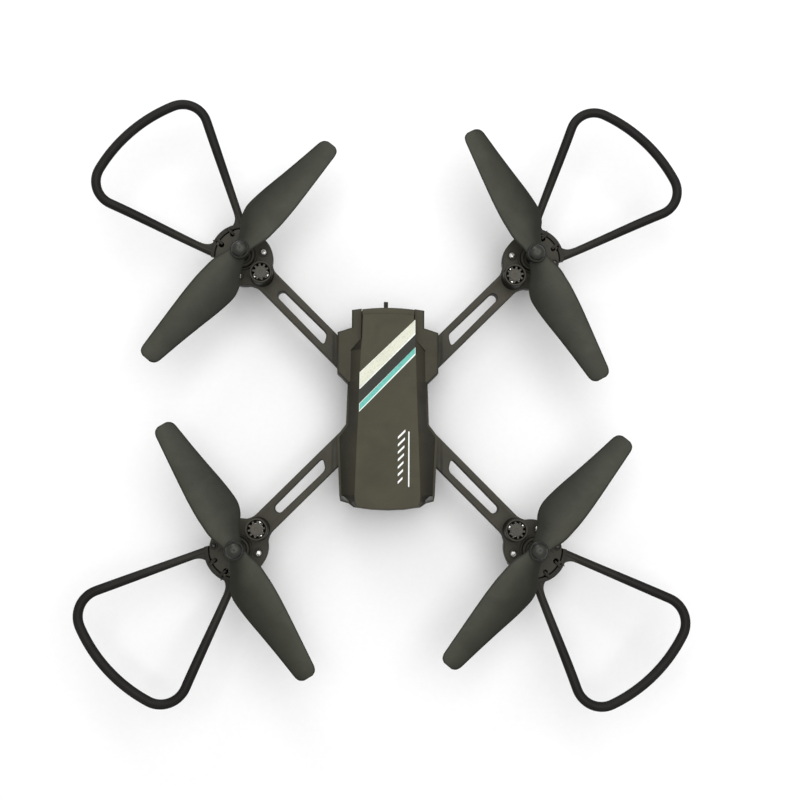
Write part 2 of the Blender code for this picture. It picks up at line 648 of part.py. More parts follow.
def solid_from_curve(maker, material):
    """A curve made into a closed mesh with welded caps."""
    graph = bpy.context.evaluated_depsgraph_get()
    mesh = bpy.data.meshes.new_from_object(maker.evaluated_get(graph))
    name = maker.name
    bpy.data.objects.remove(maker, do_unlink=True)
    bm = bmesh.new()
    bm.from_mesh(mesh)
    bmesh.ops.remove_doubles(bm, verts=bm.verts, dist=0.00001)
    bm.to_mesh(mesh)
    bm.free()
    mesh.materials.clear()
    mesh.materials.append(material)
    item = bpy.data.objects.new(name, mesh)
    DRONE.objects.link(item)
    return item


def copy_to_pods(template, local=None, mirror_clockwise=False):
    """Hangs one copy of the template in each pod frame and removes the template.

    local gives a further matrix for (pod name, blade angle in the pod frame).
    """
    for name, side, end, blade, clockwise in PODS:
        mesh = template.data
        if mirror_clockwise and clockwise:
            mesh = mirrored(template.data)
        item = bpy.data.objects.new(f"{template.name}_{name}", mesh)
        DRONE.objects.link(item)
        turn = math.radians(blade) - pod_angle(side, end)
        item.parent = AXES[name]
        item.matrix_local = local(turn) if local else Matrix.Identity(4)
    bpy.data.objects.remove(template, do_unlink=True)


def mirrored(mesh):
    """The same mesh for a propeller that turns the other way."""
    copy = mesh.copy()
    copy.name = mesh.name + "_clockwise"
    bm = bmesh.new()
    bm.from_mesh(copy)
    bmesh.ops.scale(bm, vec=(1.0, -1.0, 1.0), verts=bm.verts)
    bmesh.ops.reverse_faces(bm, faces=bm.faces)
    bm.to_mesh(copy)
    bm.free()
    return copy


def turned_with_blades(turn):
    return Matrix.Rotation(turn, 4, "Z")


def over_motor(turn):
    return Matrix.Translation((-CENTRE_DISTANCE * MM, 0.0, 0.0))


def at_screw(turn):
    return Matrix.Translation((SCREW_PLACE[0] * MM, SCREW_PLACE[1] * MM, 0.0))


def make_pods():
    for name, side, end, blade, clockwise in PODS:
        axis = bpy.data.objects.new(f"axis_{name}", None)
        DRONE.objects.link(axis)
        frame = pod_matrix(side, end)
        frame.translation *= MM
        axis.matrix_world = frame
        AXES[name] = axis
    bpy.context.view_layer.update()
    for maker in (arm_template, pod_cover_template, guard_template, gear_template,
                  lead_template, spinner_template):
        copy_to_pods(maker())
    for maker in (motor_template, motor_cap_template, pinion_template):
        copy_to_pods(maker(), over_motor)
    copy_to_pods(screw_template(), at_screw)
    copy_to_pods(propeller_template(), turned_with_blades, mirror_clockwise=True)
    shaft = finish(rod(SHAFT_RADIUS, CHAMBER_FLOOR_Z + 0.4, PROP_HUB_TOP_Z - 0.2, segments=12),
                   "prop_shaft", STEEL)
    copy_to_pods(shaft)


# ---- body pieces ----------------------------------------------------------------------------
def arm_windows(bottom, top):
    """Tools that open the shells where the arms run in."""
    width = ARM_WIDTH + 2.0 * CLEARANCE
    middle = ARM_ROOT_REACH + CLEARANCE - ARM_WINDOW_LENGTH / 2.0
    tools = []
    for _, side, end, _, _ in PODS:
        tool = box((ARM_WINDOW_LENGTH, width, top - bottom),
                   (-middle, 0.0, (top + bottom) / 2.0))
        tools.append(in_body_frame(tool, side, end))
    return tools


def lens_outline(side, gap):
    """Corner lens, with gap added all round for its pocket."""
    (x0, y0), (x1, y1) = NOSE_CORNER[:2]
    start_y = NOSE_CORNER_Y
    grow = 2.5 if gap else 0.0
    points = [(x0 - 0.2, start_y), (x0 - 2.8 - gap, start_y),
              (x1 - 0.6 - gap, y1 + 2.6), (x1 - 0.6 - gap, y1 + 0.3 - grow),
              (x0 - 0.4 + grow, y0 + 0.5 - grow), (x0 - 0.2 + grow, start_y)]
    if gap:
        points = [(x, y + gap if y == start_y else y) for x, y in points[1:]]
    else:
        points = points[1:-1] + [points[0]]
    points = [(side * x, y) for x, y in points]
    return points if side < 0 else list(reversed(points))


def make_top_cover():
    item = finish(loft(body_rings()), "top_cover", SHELL, smooth=18.0)
    combine(item, [loft(body_rings(lift=2.0, wall=SHELL_WALL))], "DIFFERENCE")
    cuts = arm_windows(SEAM_Z - 5.0, ARM_TOP_Z + CLEARANCE)
    panel = TAIL_PANEL_HALF_WIDTH + CLEARANCE
    cuts.append(box((2.0 * panel, 10.0, 30.0), (0.0, tail_panel_front() - CLEARANCE + 5.0, 32.0)))
    for side in (-1, 1):
        cuts.append(prism(lens_outline(side, CLEARANCE), LENS_Z[0] - CLEARANCE,
                          LENS_Z[1] + CLEARANCE))
    combine(item, cuts, "DIFFERENCE")
    return item


def make_bottom_shell():
    item = finish(loft(belly_rings()), "bottom_shell", DARK, smooth=18.0)
    combine(item, [loft(belly_rings(lift=2.0, wall=SHELL_WALL))], "DIFFERENCE")
    posts = [rod(POST_RADIUS, BELLY_Z + 0.7, BOARD_Z - CLEARANCE, (side * x, y), 12)
             for x, y in POST_PLACES for side in (-1, 1)]
    combine(item, posts, "UNION")
    cuts = arm_windows(ARM_BOTTOM_Z - CLEARANCE, SEAM_Z + 5.0)
    length = TAIL_Y + 20.0 - DOOR_FRONT_Y
    middle = DOOR_FRONT_Y + length / 2.0 - CLEARANCE
    tongue_width, tongue_height = DOOR_TONGUE
    narrow = DOOR_SIZE[0] - 2.0 * tongue_width + 2.0 * CLEARANCE
    lip_top = DOOR_TOP_Z - tongue_height - CLEARANCE
    roof = DOOR_TOP_Z + CLEARANCE
    cuts.append(box((DOOR_SIZE[0] + 2.0 * CLEARANCE, length, roof - lip_top),
                    (0.0, middle, (roof + lip_top) / 2.0)))
    cuts.append(box((narrow, length - 0.02, roof - BELLY_Z + 1.0),
                    (0.0, middle + 0.01, (roof + BELLY_Z - 1.0) / 2.0 - 0.01)))
    combine(item, cuts, "DIFFERENCE")
    return item


def make_battery_door():
    """Belly door that slides towards the tail on its tongues, with a finger ledge."""
    width, length, height = DOOR_SIZE
    tongue_width, tongue_height = DOOR_TONGUE
    middle = DOOR_FRONT_Y + length / 2.0
    item = finish(box((width, length, tongue_height),
                      (0.0, middle, DOOR_TOP_Z - tongue_height / 2.0)), "battery_door", DARK)
    panel = box((width - 2.0 * tongue_width, length - 0.04, height - 0.02),
                (0.0, middle, BELLY_Z + height / 2.0 - 0.01))
    ledge = box((12.0, 2.0, 1.6), (0.0, DOOR_FRONT_Y + length - 6.0, BELLY_Z - 0.4))
    combine(item, [panel, ledge], "UNION")
    return item


def tail_panel_front():
    return TAIL_Y + TAIL_CROWN - TAIL_PANEL_THICKNESS - 0.4


def make_tail_panel():
    half = TAIL_PANEL_HALF_WIDTH
    front = tail_panel_front()
    back = TAIL_Y + TAIL_CROWN
    arc = [(half * k / 4.0, back - TAIL_CROWN * 0.5 * (k / 4.0) ** 2) for k in range(-4, 5)]
    outline = [(-half, front), (half, front)] + list(reversed(arc))
    item = finish(prism(outline, SEAM_Z + CLEARANCE, PLATEAU_Z - 0.8), "tail_panel", SHELL)
    slot = box((LEVER_SIZE[0] + SWITCH_TRAVEL + 3.0, 12.0, LEVER_SIZE[2] + 0.8),
               (0.0, TAIL_Y, SWITCH_Z))
    combine(item, [slot], "DIFFERENCE")
    return item


def make_switch():
    """Slide switch behind the tail panel and its lever, at the end of its travel."""
    body_y = tail_panel_front() - CLEARANCE - SWITCH_SIZE[1] / 2.0
    item = finish(box(SWITCH_SIZE, (0.0, body_y, SWITCH_Z)), "switch_body", STEEL)
    groove = box((LEVER_SIZE[0] + SWITCH_TRAVEL + 1.0, 4.0, LEVER_SIZE[2] + 0.6),
                 (0.0, body_y + SWITCH_SIZE[1] / 2.0, SWITCH_Z))
    combine(item, [groove], "DIFFERENCE")
    start = body_y + SWITCH_SIZE[1] / 2.0 - 1.6
    finish(box(LEVER_SIZE, (-SWITCH_TRAVEL / 2.0, start + LEVER_SIZE[1] / 2.0, SWITCH_Z)),
           "switch_lever", DARK)


def make_inside():
    height = BATTERY_SIZE[2]
    base = DOOR_TOP_Z + CLEARANCE
    pack = finish(box(BATTERY_SIZE, (0.0, BATTERY_Y, base + height / 2.0)), "battery_pack", WRAP)
    bevel = pack.modifiers.new("round", "BEVEL")
    bevel.width = 1.5 * MM
    bevel.segments = 3
    board = finish(box(BOARD_SIZE, (0.0, BOARD_Y, BOARD_Z + BOARD_SIZE[2] / 2.0)),
                   "circuit_board", BOARD)
    chips = [box((6.0, 6.0, 1.4), (0.0, BOARD_Y + 8.0, BOARD_Z + BOARD_SIZE[2] + 0.5)),
             box((4.0, 5.0, 1.2), (8.0, BOARD_Y - 8.0, BOARD_Z + BOARD_SIZE[2] + 0.4)),
             box((7.0, 5.0, 3.0), (-9.0, BOARD_Y + 16.0, BOARD_Z + BOARD_SIZE[2] + 1.2))]
    combine(board, chips, "UNION")


def make_lenses():
    for side, name in ((-1, "right"), (1, "left")):
        finish(prism(lens_outline(side, 0.0), LENS_Z[0], LENS_Z[1]), f"headlight_{name}", LENS)


AXES = {}
make_pods()
make_top_cover()
make_bottom_shell()
make_battery_door()
make_tail_panel()
make_switch()
make_inside()
make_lenses()
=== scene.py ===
"""Looks of the mini palm drone: shells, arms, guards, propellers, prints and finishes.

Every piece is modelled in millimetres, in the body frame or in a pod frame, and is written in
metres into a mesh whose object stays at the origin. The body frame has +X at the drone's left,
-Y at its nose and +Z up. A pod frame has its origin under the propeller axis and +X outwards.
"""
import logging
import math
from dataclasses import dataclass, field
from enum import Enum
from typing import Iterable, Protocol, Sequence

import bmesh
import bpy
from mathutils import Matrix, Vector


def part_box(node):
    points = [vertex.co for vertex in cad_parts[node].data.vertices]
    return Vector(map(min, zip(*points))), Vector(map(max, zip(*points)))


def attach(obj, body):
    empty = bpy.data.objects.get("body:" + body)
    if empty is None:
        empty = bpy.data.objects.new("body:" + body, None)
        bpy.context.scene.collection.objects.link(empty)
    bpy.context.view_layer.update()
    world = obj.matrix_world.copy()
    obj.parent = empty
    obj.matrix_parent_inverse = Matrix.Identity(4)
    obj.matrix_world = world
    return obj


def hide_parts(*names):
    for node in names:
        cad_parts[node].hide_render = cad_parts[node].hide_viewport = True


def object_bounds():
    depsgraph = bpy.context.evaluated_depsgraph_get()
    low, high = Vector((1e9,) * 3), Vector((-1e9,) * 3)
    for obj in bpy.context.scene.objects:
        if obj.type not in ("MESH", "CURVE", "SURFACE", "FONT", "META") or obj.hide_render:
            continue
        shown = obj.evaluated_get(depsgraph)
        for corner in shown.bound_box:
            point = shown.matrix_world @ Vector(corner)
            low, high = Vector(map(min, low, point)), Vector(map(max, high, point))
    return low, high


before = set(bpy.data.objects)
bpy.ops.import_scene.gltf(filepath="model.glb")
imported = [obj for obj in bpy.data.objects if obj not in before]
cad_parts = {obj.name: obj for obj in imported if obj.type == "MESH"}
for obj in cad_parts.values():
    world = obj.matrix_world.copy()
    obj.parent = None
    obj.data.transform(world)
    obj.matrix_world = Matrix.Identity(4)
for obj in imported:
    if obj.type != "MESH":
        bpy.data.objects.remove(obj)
cad_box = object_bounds()

MM = 0.001
WELD = 1e-4
SAME_LEVEL = 1e-6
LOG = logging.getLogger("palm_drone")
Point2 = tuple[float, float]
Point3 = tuple[float, float, float]
Colour = tuple[float, float, float]
Mesh = bmesh.types.BMesh
Material = bpy.types.Material
Socket = bpy.types.NodeSocket


class Hand(Enum):
    """Way in which a propeller turns, seen from above."""

    CLOCKWISE = -1
    COUNTER_CLOCKWISE = 1


class Side(Enum):
    """Side of the drone, as the sign of X."""

    RIGHT = -1
    LEFT = 1


class End(Enum):
    """End of the drone, as the sign of Y."""

    NOSE = -1
    TAIL = 1


# ---- finishes -------------------------------------------------------------------------------
class NodeSheet:
    """Short-hand for one material's node tree, with everything in Object coordinates."""

    def __init__(self, name: str) -> None:
        """Starts a material with an empty Principled shader."""
        self.material = bpy.data.materials.new(name)
        self.material.use_nodes = True
        self.tree = self.material.node_tree
        self.shader = self.tree.nodes["Principled BSDF"]
        self.coords = self.add("ShaderNodeTexCoord").outputs["Object"]

    def add(self, kind: str, **settings: object) -> bpy.types.Node:
        """Adds a node and sets its properties and input defaults.

        Args:
            kind: node type.
            settings: properties of the node, or values of the inputs of the same name.

        Returns:
            The node.
        """
        node = self.tree.nodes.new(kind)
        for key, value in settings.items():
            label = key.replace("_", " ").title()
            if hasattr(node, key):
                setattr(node, key, value)
            else:
                node.inputs[label].default_value = value
        return node

    def link(self, source: Socket, target: Socket) -> None:
        """Joins two sockets."""
        self.tree.links.new(source, target)

    def noise(self, size: float, detail: float = 3.0, stretch: Point3 = (1.0, 1.0, 1.0),
              distortion: float = 0.0) -> Socket:
        """Noise whose grains are about size millimetres across.

        Args:
            size: grain size in millimetres.
            detail: octaves.
            stretch: scale of the coordinates along each axis.
            distortion: swirl of the pattern.

        Returns:
            The factor socket.
        """
        mapping = self.add("ShaderNodeMapping")
        mapping.inputs["Scale"].default_value = stretch
        self.link(self.coords, mapping.inputs["Vector"])
        node = self.add("ShaderNodeTexNoise", scale=1.0 / (size * MM), detail=detail,
                        distortion=distortion)
        self.link(mapping.outputs["Vector"], node.inputs["Vector"])
        return node.outputs["Fac"]

    def span(self, source: Socket, low: float, high: float,
             start: float = 0.3, end: float = 0.7) -> Socket:
        """Maps source from start..end to low..high."""
        node = self.add("ShaderNodeMapRange")
        for label, value in (("From Min", start), ("From Max", end), ("To Min", low),
                             ("To Max", high)):
            node.inputs[label].default_value = value
        self.link(source, node.inputs["Value"])
        return node.outputs["Result"]

    def blend(self, factor: Socket, first: Colour, second: Colour) -> Socket:
        """Colour between first and second, by factor."""
        node = self.add("ShaderNodeMix", data_type="RGBA")
        node.inputs[6].default_value = (*first, 1.0)
        node.inputs[7].default_value = (*second, 1.0)
        self.link(factor, node.inputs[0])
        return node.outputs[2]

    def tint(self, colour: Socket, factor: Socket) -> Socket:
        """Colour times a grey factor."""
        node = self.add("ShaderNodeVectorMath", operation="MULTIPLY")
        self.link(colour, node.inputs[0])
        self.link(factor, node.inputs[1])
        return node.outputs["Vector"]

    def wall_shade(self, low: float, start: float = 0.35, end: float = 0.92) -> Socket:
        """Painted shade: factor that is 1 on faces that look up or down and low on upright walls.
        """
        split = self.add("ShaderNodeSeparateXYZ")
        self.link(self.add("ShaderNodeNewGeometry").outputs["Normal"], split.inputs[0])
        level = self.add("ShaderNodeMath", operation="ABSOLUTE")
        self.link(split.outputs["Z"], level.inputs[0])
        return self.span(level.outputs[0], low, 1.0, start, end)

    def axis(self, name: str) -> Socket:
        """One Object coordinate."""
        split = self.add("ShaderNodeSeparateXYZ")
        self.link(self.coords, split.inputs[0])
        return split.outputs[name]

    def bump(self, height: Socket, depth: float, strength: float = 0.5,
             under: Socket | None = None) -> Socket:
        """Bump from a height factor.

        Args:
            height: factor from 0 to 1.
            depth: height of the relief in millimetres.
            strength: share of the relief that is used.
            under: normal that the relief lies on.

        Returns:
            The normal socket.
        """
        node = self.add("ShaderNodeBump", strength=strength, distance=depth * MM)
        self.link(height, node.inputs["Height"])
        if under is not None:
            self.link(under, node.inputs["Normal"])
        return node.outputs["Normal"]

    def surface(self, colour: Socket, roughness: Socket,
                normal: Socket, **uniform: float) -> Material:
        """Joins the sockets to the shader.

        Args:
            colour: base colour.
            roughness: roughness.
            normal: bumped normal.
            uniform: shader inputs that are the same all over, such as metallic.

        Returns:
            The material.
        """
        self.link(colour, self.shader.inputs["Base Color"])
        self.link(roughness, self.shader.inputs["Roughness"])
        self.link(normal, self.shader.inputs["Normal"])
        for key, value in uniform.items():
            self.shader.inputs[key.replace("_", " ").title().replace("Ior", "IOR")
                               ].default_value = value
        return self.material


class Recipe(Protocol):
    """Anything that builds a material."""

    def build(self) -> Material:
        """Returns the material."""


def dimmed(colour: Colour, share: float) -> Colour:
    """Colour with every channel times a share."""
    return tuple(min(channel * share, 1.0) for channel in colour)


@dataclass(frozen=True)
class MouldedPlastic:
    """Injection-moulded plastic: eroded grain, flow mottling, rubbed spots, and painted shade on
    upright walls and, where lower is below 1, on low levels.
    """

    name: str
    colour: Colour
    roughness: float = 0.5
    mottle: float = 0.10
    # painted shade: wall is the colour share kept on upright walls; the facing pair gives the
    # range of upward normal over which it fades back to full colour
    wall: float = 0.45
    grain: float = 0.5
    depth: float = 0.03
    specular: float = 0.2
    shade_facing: tuple[float, float] = (0.45, 0.98)
    # painted shade: share of the colour kept below the first of the heights, in millimetres,
    # fading to full colour at the second
    lower: float = 1.0
    heights: tuple[float, float] = (0.0, 1.0)

    def build(self) -> Material:
        """Returns the material."""
        sheet = NodeSheet(self.name)
        flow = sheet.span(sheet.noise(14.0, 5.0, distortion=0.6), 0.0, 1.0)
        colour = sheet.blend(flow, dimmed(self.colour, 1.0 - self.mottle),
                             dimmed(self.colour, 1.0 + self.mottle))
        speckle = sheet.noise(0.35, 2.0)
        colour = sheet.tint(colour, sheet.span(speckle, 0.90, 1.10))
        # painted shade: upright walls darkened, as if turned away from the overhead light
        colour = sheet.tint(colour, sheet.wall_shade(self.wall, *self.shade_facing))
        # painted shade: the lower levels darkened, fading to full colour across the heights span
        if self.lower < 1.0:
            start, end = self.heights
            colour = sheet.tint(colour, sheet.span(sheet.axis("Z"), self.lower, 1.0, start * MM,
                                                   end * MM))
        grain = sheet.noise(self.grain, 4.0)
        rubbed = sheet.span(sheet.noise(6.0, 6.0, distortion=1.2), -0.06, 0.06)
        fine = sheet.add("ShaderNodeMath", operation="ADD")
        sheet.link(sheet.span(grain, self.roughness - 0.04, self.roughness + 0.06),
                   fine.inputs[0])
        sheet.link(rubbed, fine.inputs[1])
        scratch = sheet.noise(2.4, 3.0, (1.0, 14.0, 1.0))
        normal = sheet.bump(scratch, self.depth * 0.6, 0.15)
        normal = sheet.bump(grain, self.depth, 0.45, normal)
        return sheet.surface(colour, fine.outputs[0], normal, specular_ior_level=self.specular)


@dataclass(frozen=True)
class GuardPlastic:
    """Tough flexible plastic of the guards, darker towards the rim, with drawn-out flow lines and
    painted shade on upright walls.
    """

    name: str
    foot: Colour
    rim: Colour
    levels: tuple[float, float]
    roughness: float = 0.46

    def build(self) -> Material:
        """Returns the material."""
        sheet = NodeSheet(self.name)
        low, high = self.levels
        height = sheet.span(sheet.axis("Z"), 0.0, 1.0, low * MM, high * MM)
        colour = sheet.blend(height, self.foot, self.rim)
        colour = sheet.tint(colour, sheet.span(sheet.noise(9.0, 4.0, distortion=0.8), 0.86, 1.14))
        # painted shade: upright walls darkened, as if turned away from the overhead light
        colour = sheet.tint(colour, sheet.wall_shade(0.30, 0.45, 0.97))
        grain = sheet.noise(0.45, 3.0)
        rough = sheet.span(sheet.noise(5.0, 5.0), self.roughness - 0.07, self.roughness + 0.07)
        normal = sheet.bump(grain, 0.025, 0.4)
        return sheet.surface(colour, rough, normal, specular_ior_level=0.15)


@dataclass(frozen=True)
class PrintedInk:
    """Pad-printed ink with a slight orange peel and thin spots."""

    name: str
    colour: Colour
    thin: Colour
    roughness: float = 0.42

    def build(self) -> Material:
        """Returns the material."""
        sheet = NodeSheet(self.name)
        spots = sheet.span(sheet.noise(0.7, 6.0), 0.0, 1.0, 0.38, 0.50)
        colour = sheet.blend(spots, self.thin, self.colour)
        colour = sheet.tint(colour, sheet.span(sheet.noise(8.0, 3.0), 0.95, 1.04))
        peel = sheet.noise(0.9, 2.0)
        rough = sheet.span(peel, self.roughness - 0.05, self.roughness + 0.08)
        return sheet.surface(colour, rough, sheet.bump(peel, 0.012, 0.4),
                             specular_ior_level=0.3)


@dataclass(frozen=True)
class Metal:
    """Plated or drawn steel with fine turning marks."""

    name: str
    colour: Colour
    roughness: float = 0.28
    marks: Point3 = (1.0, 1.0, 12.0)

    def build(self) -> Material:
        """Returns the material."""
        sheet = NodeSheet(self.name)
        stain = sheet.span(sheet.noise(1.6, 5.0, distortion=0.5), 0.0, 1.0)
        colour = sheet.blend(stain, dimmed(self.colour, 0.72), self.colour)
        marks = sheet.noise(0.5, 3.0, self.marks)
        rough = sheet.span(marks, self.roughness - 0.08, self.roughness + 0.14)
        return sheet.surface(colour, rough, sheet.bump(marks, 0.01, 0.35), metallic=1.0)


@dataclass(frozen=True)
class Nylon:
    """Milky gear nylon."""

    name: str
    colour: Colour

    def build(self) -> Material:
        """Returns the material."""
        sheet = NodeSheet(self.name)
        cloud = sheet.span(sheet.noise(3.0, 4.0), 0.0, 1.0)
        colour = sheet.blend(cloud, dimmed(self.colour, 0.88), self.colour)
        grain = sheet.noise(0.3, 3.0)
        return sheet.surface(colour, sheet.span(grain, 0.40, 0.55), sheet.bump(grain, 0.01, 0.4),
                             subsurface_weight=0.15)


@dataclass(frozen=True)
class ClearLens:
    """Smoky clear polycarbonate with faint prism lines."""

    name: str
    colour: Colour

    def build(self) -> Material:
        """Returns the material."""
        sheet = NodeSheet(self.name)
        haze = sheet.span(sheet.noise(1.2, 3.0), 0.0, 1.0)
        colour = sheet.blend(haze, dimmed(self.colour, 0.8), self.colour)
        wave = sheet.add("ShaderNodeTexWave", scale=1.0 / (1.1 * MM), distortion=0.2)
        sheet.link(sheet.coords, wave.inputs["Vector"])
        rough = sheet.span(haze, 0.06, 0.16, 0.0, 1.0)
        normal = sheet.bump(wave.outputs["Fac"], 0.05, 0.5)
        return sheet.surface(colour, rough, normal, transmission_weight=0.2,
                             coat_weight=0.1)


@dataclass(frozen=True)
class BoardLaminate:
    """Green solder mask over copper tracks."""

    name: str
    mask: Colour
    track: Colour

    def build(self) -> Material:
        """Returns the material."""
        sheet = NodeSheet(self.name)
        cells = sheet.add("ShaderNodeTexBrick", scale=1.0 / (9.0 * MM), mortar_size=0.03)
        sheet.link(sheet.coords, cells.inputs["Vector"])
        tracks = sheet.span(cells.outputs["Fac"], 0.0, 1.0, 0.2, 0.8)
        colour = sheet.blend(tracks, self.mask, self.track)
        colour = sheet.tint(colour, sheet.span(sheet.noise(5.0, 4.0), 0.85, 1.15))
        weave = sheet.noise(0.4, 2.0)
        return sheet.surface(colour, sheet.span(weave, 0.30, 0.45),
                             sheet.bump(tracks, 0.03, 0.6))


@dataclass(frozen=True)
class ShrinkWrap:
    """Heat-shrunk film or rubbery insulation, with tight creases and painted shade in their
    valleys.
    """

    name: str
    colour: Colour
    crease: float = 4.0

    def build(self) -> Material:
        """Returns the material."""
        sheet = NodeSheet(self.name)
        creases = sheet.noise(self.crease, 6.0, (1.0, 2.5, 1.0), 2.0)
        # painted shade: the colour darkens in the crease valleys of the same pattern that makes
        # the bump
        colour = sheet.blend(sheet.span(creases, 0.0, 1.0), dimmed(self.colour, 0.7),
                             self.colour)
        rough = sheet.span(sheet.noise(1.0, 3.0), 0.28, 0.42)
        return sheet.surface(colour, rough, sheet.bump(creases, 0.12, 0.5), coat_weight=0.3)


@dataclass(frozen=True)
class StudioPaper:
    """Pale paper of the floor."""

    name: str
    colour: Colour

    def build(self) -> Material:
        """Returns the material."""
        sheet = NodeSheet(self.name)
        fibre = sheet.noise(3.0, 4.0)
        colour = sheet.blend(sheet.span(fibre, 0.0, 1.0), dimmed(self.colour, 0.985),
                             self.colour)
        return sheet.surface(colour, sheet.span(fibre, 0.85, 0.95), sheet.bump(fibre, 0.02, 0.1),
                             specular_ior_level=0.0)


def made(recipe: Recipe) -> Material:
    """Field whose material is built from its recipe when the palette is made."""
    return field(default_factory=recipe.build)


@dataclass
class Palette:
    """All finishes of the drone, each built once."""

    # painted shade: every moulded finish darkens its upright walls; the cover is also darkened
    # below 29 to 33 mm, where its shoulders lie low beside the raised middle
    cover: Material = made(MouldedPlastic("satin_cover", (0.056, 0.051, 0.032), 0.55, 0.10, 0.42,
                                          shade_facing=(0.70, 0.985), lower=0.72,
                                          heights=(29.0, 33.0)))
    band: Material = made(MouldedPlastic("tinted_band", (0.030, 0.031, 0.025), 0.5, 0.06))
    belly: Material = made(MouldedPlastic("belly_plastic", (0.026, 0.024, 0.019), 0.55))
    # painted shade: the arm's upright walls and edges are darkened strongly, keeping 0.22 of the
    # colour
    arm: Material = made(MouldedPlastic("arm_plastic", (0.043, 0.040, 0.029), 0.52, 0.14, 0.22))
    guard: Material = made(GuardPlastic("guard_plastic", (0.030, 0.028, 0.022),
                                        (0.010, 0.009, 0.008), (21.0, 29.0)))
    pod_cup: Material = made(MouldedPlastic("pod_cup_plastic", (0.055, 0.050, 0.042), 0.55, 0.12,
                                            0.75))
    # painted shade: blade faces that tilt away from the light are darkened
    blade: Material = made(MouldedPlastic("blade_plastic", (0.040, 0.041, 0.029), 0.46, 0.16,
                                          0.40, 0.8, 0.015, shade_facing=(0.93, 0.995)))
    spinner: Material = made(MouldedPlastic("spinner_plastic", (0.024, 0.024, 0.019), 0.32, 0.10,
                                            0.30, 0.4, 0.012, 0.35))
    end_cap: Material = made(MouldedPlastic("end_cap_plastic", (0.066, 0.062, 0.050), 0.5, 0.16))
    rubber: Material = made(MouldedPlastic("foot_rubber", (0.020, 0.020, 0.019), 0.8, 0.2, 0.8,
                                           0.3, 0.05))
    steel: Material = made(Metal("plated_steel", (0.78, 0.77, 0.74)))
    black_steel: Material = made(Metal("black_steel", (0.09, 0.085, 0.08), 0.36))
    brass: Material = made(Metal("contact_brass", (0.72, 0.55, 0.28), 0.3))
    nylon: Material = made(Nylon("gear_nylon", (0.74, 0.73, 0.66)))
    lens: Material = made(ClearLens("headlight_lens", (0.045, 0.045, 0.042)))
    cream: Material = made(PrintedInk("cream_ink", (0.66, 0.67, 0.55), (0.57, 0.58, 0.47)))
    teal: Material = made(PrintedInk("teal_ink", (0.13, 0.47, 0.40), (0.10, 0.39, 0.34)))
    white: Material = made(PrintedInk("white_ink", (0.88, 0.90, 0.86), (0.76, 0.78, 0.75)))
    board: Material = made(BoardLaminate("board_laminate", (0.02, 0.13, 0.05),
                                         (0.05, 0.26, 0.11)))
    wrap: Material = made(ShrinkWrap("battery_wrap", (0.05, 0.16, 0.40)))
    lead: Material = made(ShrinkWrap("lead_insulation", (0.42, 0.03, 0.03), 1.5))


# ---- mesh tools -----------------------------------------------------------------------------
def verts_of(geom: Iterable[object]) -> list[bmesh.types.BMVert]:
    """Vertices among the results of an operator."""
    return [item for item in geom if isinstance(item, bmesh.types.BMVert)]


def closed_loop(bm: Mesh, points: Sequence[Point3]) -> list[bmesh.types.BMEdge]:
    """A ring of edges through the points."""
    verts = [bm.verts.new(point) for point in points]
    return [bm.edges.new((vert, verts[(i + 1) % len(verts)])) for i, vert in enumerate(verts)]


def slab(outline: Sequence[Point2], bottom: float, top: float, edge: float = 0.0,
         segments: int = 2, upper_only: bool = False) -> Mesh:
    """Flat outline pulled up, with rounded rims.

    Args:
        outline: corners, counter-clockwise from above.
        bottom: lower level.
        top: upper level.
        edge: width of the rounding.
        segments: facets of the rounding.
        upper_only: leaves the lower rim sharp.

    Returns:
        A closed mesh.
    """
    bm = bmesh.new()
    face = bmesh.ops.contextual_create(bm, geom=closed_loop(bm, [(x, y, bottom)
                                                                for x, y in outline]))["faces"][0]
    pulled = bmesh.ops.extrude_face_region(bm, geom=[face])
    bmesh.ops.translate(bm, verts=verts_of(pulled["geom"]), vec=(0.0, 0.0, top - bottom))
    bmesh.ops.recalc_face_normals(bm, faces=bm.faces)
    if edge > 0.0:
        heights = (top,) if upper_only else (bottom, top)
        rims = [e for e in bm.edges
                if any(all(abs(v.co.z - z) < SAME_LEVEL for v in e.verts) for z in heights)]
        bevel(bm, rims, edge, segments)
    return bm


def bevel(bm: Mesh, edges: Sequence[bmesh.types.BMEdge], width: float, segments: int = 2
          ) -> None:
    """Rounds the edges."""
    bmesh.ops.bevel(bm, geom=list(edges), offset=width, offset_type="OFFSET", segments=segments,
                    profile=0.5, affect="EDGES", material=-1, clamp_overlap=True,
                    loop_slide=False)


def turned(profile: Sequence[Point2], steps: int = 48, centre: Point2 = (0.0, 0.0),
           ring: bool = False, level: float = 0.0) -> Mesh:
    """Profile of (radius, height) spun about an upright axis.

    Args:
        profile: points from the axis round to the axis, or a closed outline for a ring.
        steps: facets of a full turn.
        centre: place of the axis.
        ring: joins the last point to the first.
        level: height that the profile's heights are counted from.

    Returns:
        A closed mesh.
    """
    bm = bmesh.new()
    verts = [bm.verts.new((radius, 0.0, level + height)) for radius, height in profile]
    edges = [bm.edges.new(pair) for pair in zip(verts, verts[1:])]
    if ring:
        edges.append(bm.edges.new((verts[-1], verts[0])))
    bmesh.ops.spin(bm, geom=verts + edges, cent=(0.0, 0.0, 0.0), axis=(0.0, 0.0, 1.0),
                   angle=math.tau, steps=steps, use_merge=True, use_duplicate=False)
    bmesh.ops.remove_doubles(bm, verts=bm.verts, dist=WELD)
    bmesh.ops.recalc_face_normals(bm, faces=bm.faces)
    bmesh.ops.translate(bm, verts=bm.verts, vec=(*centre, 0.0))
    return bm


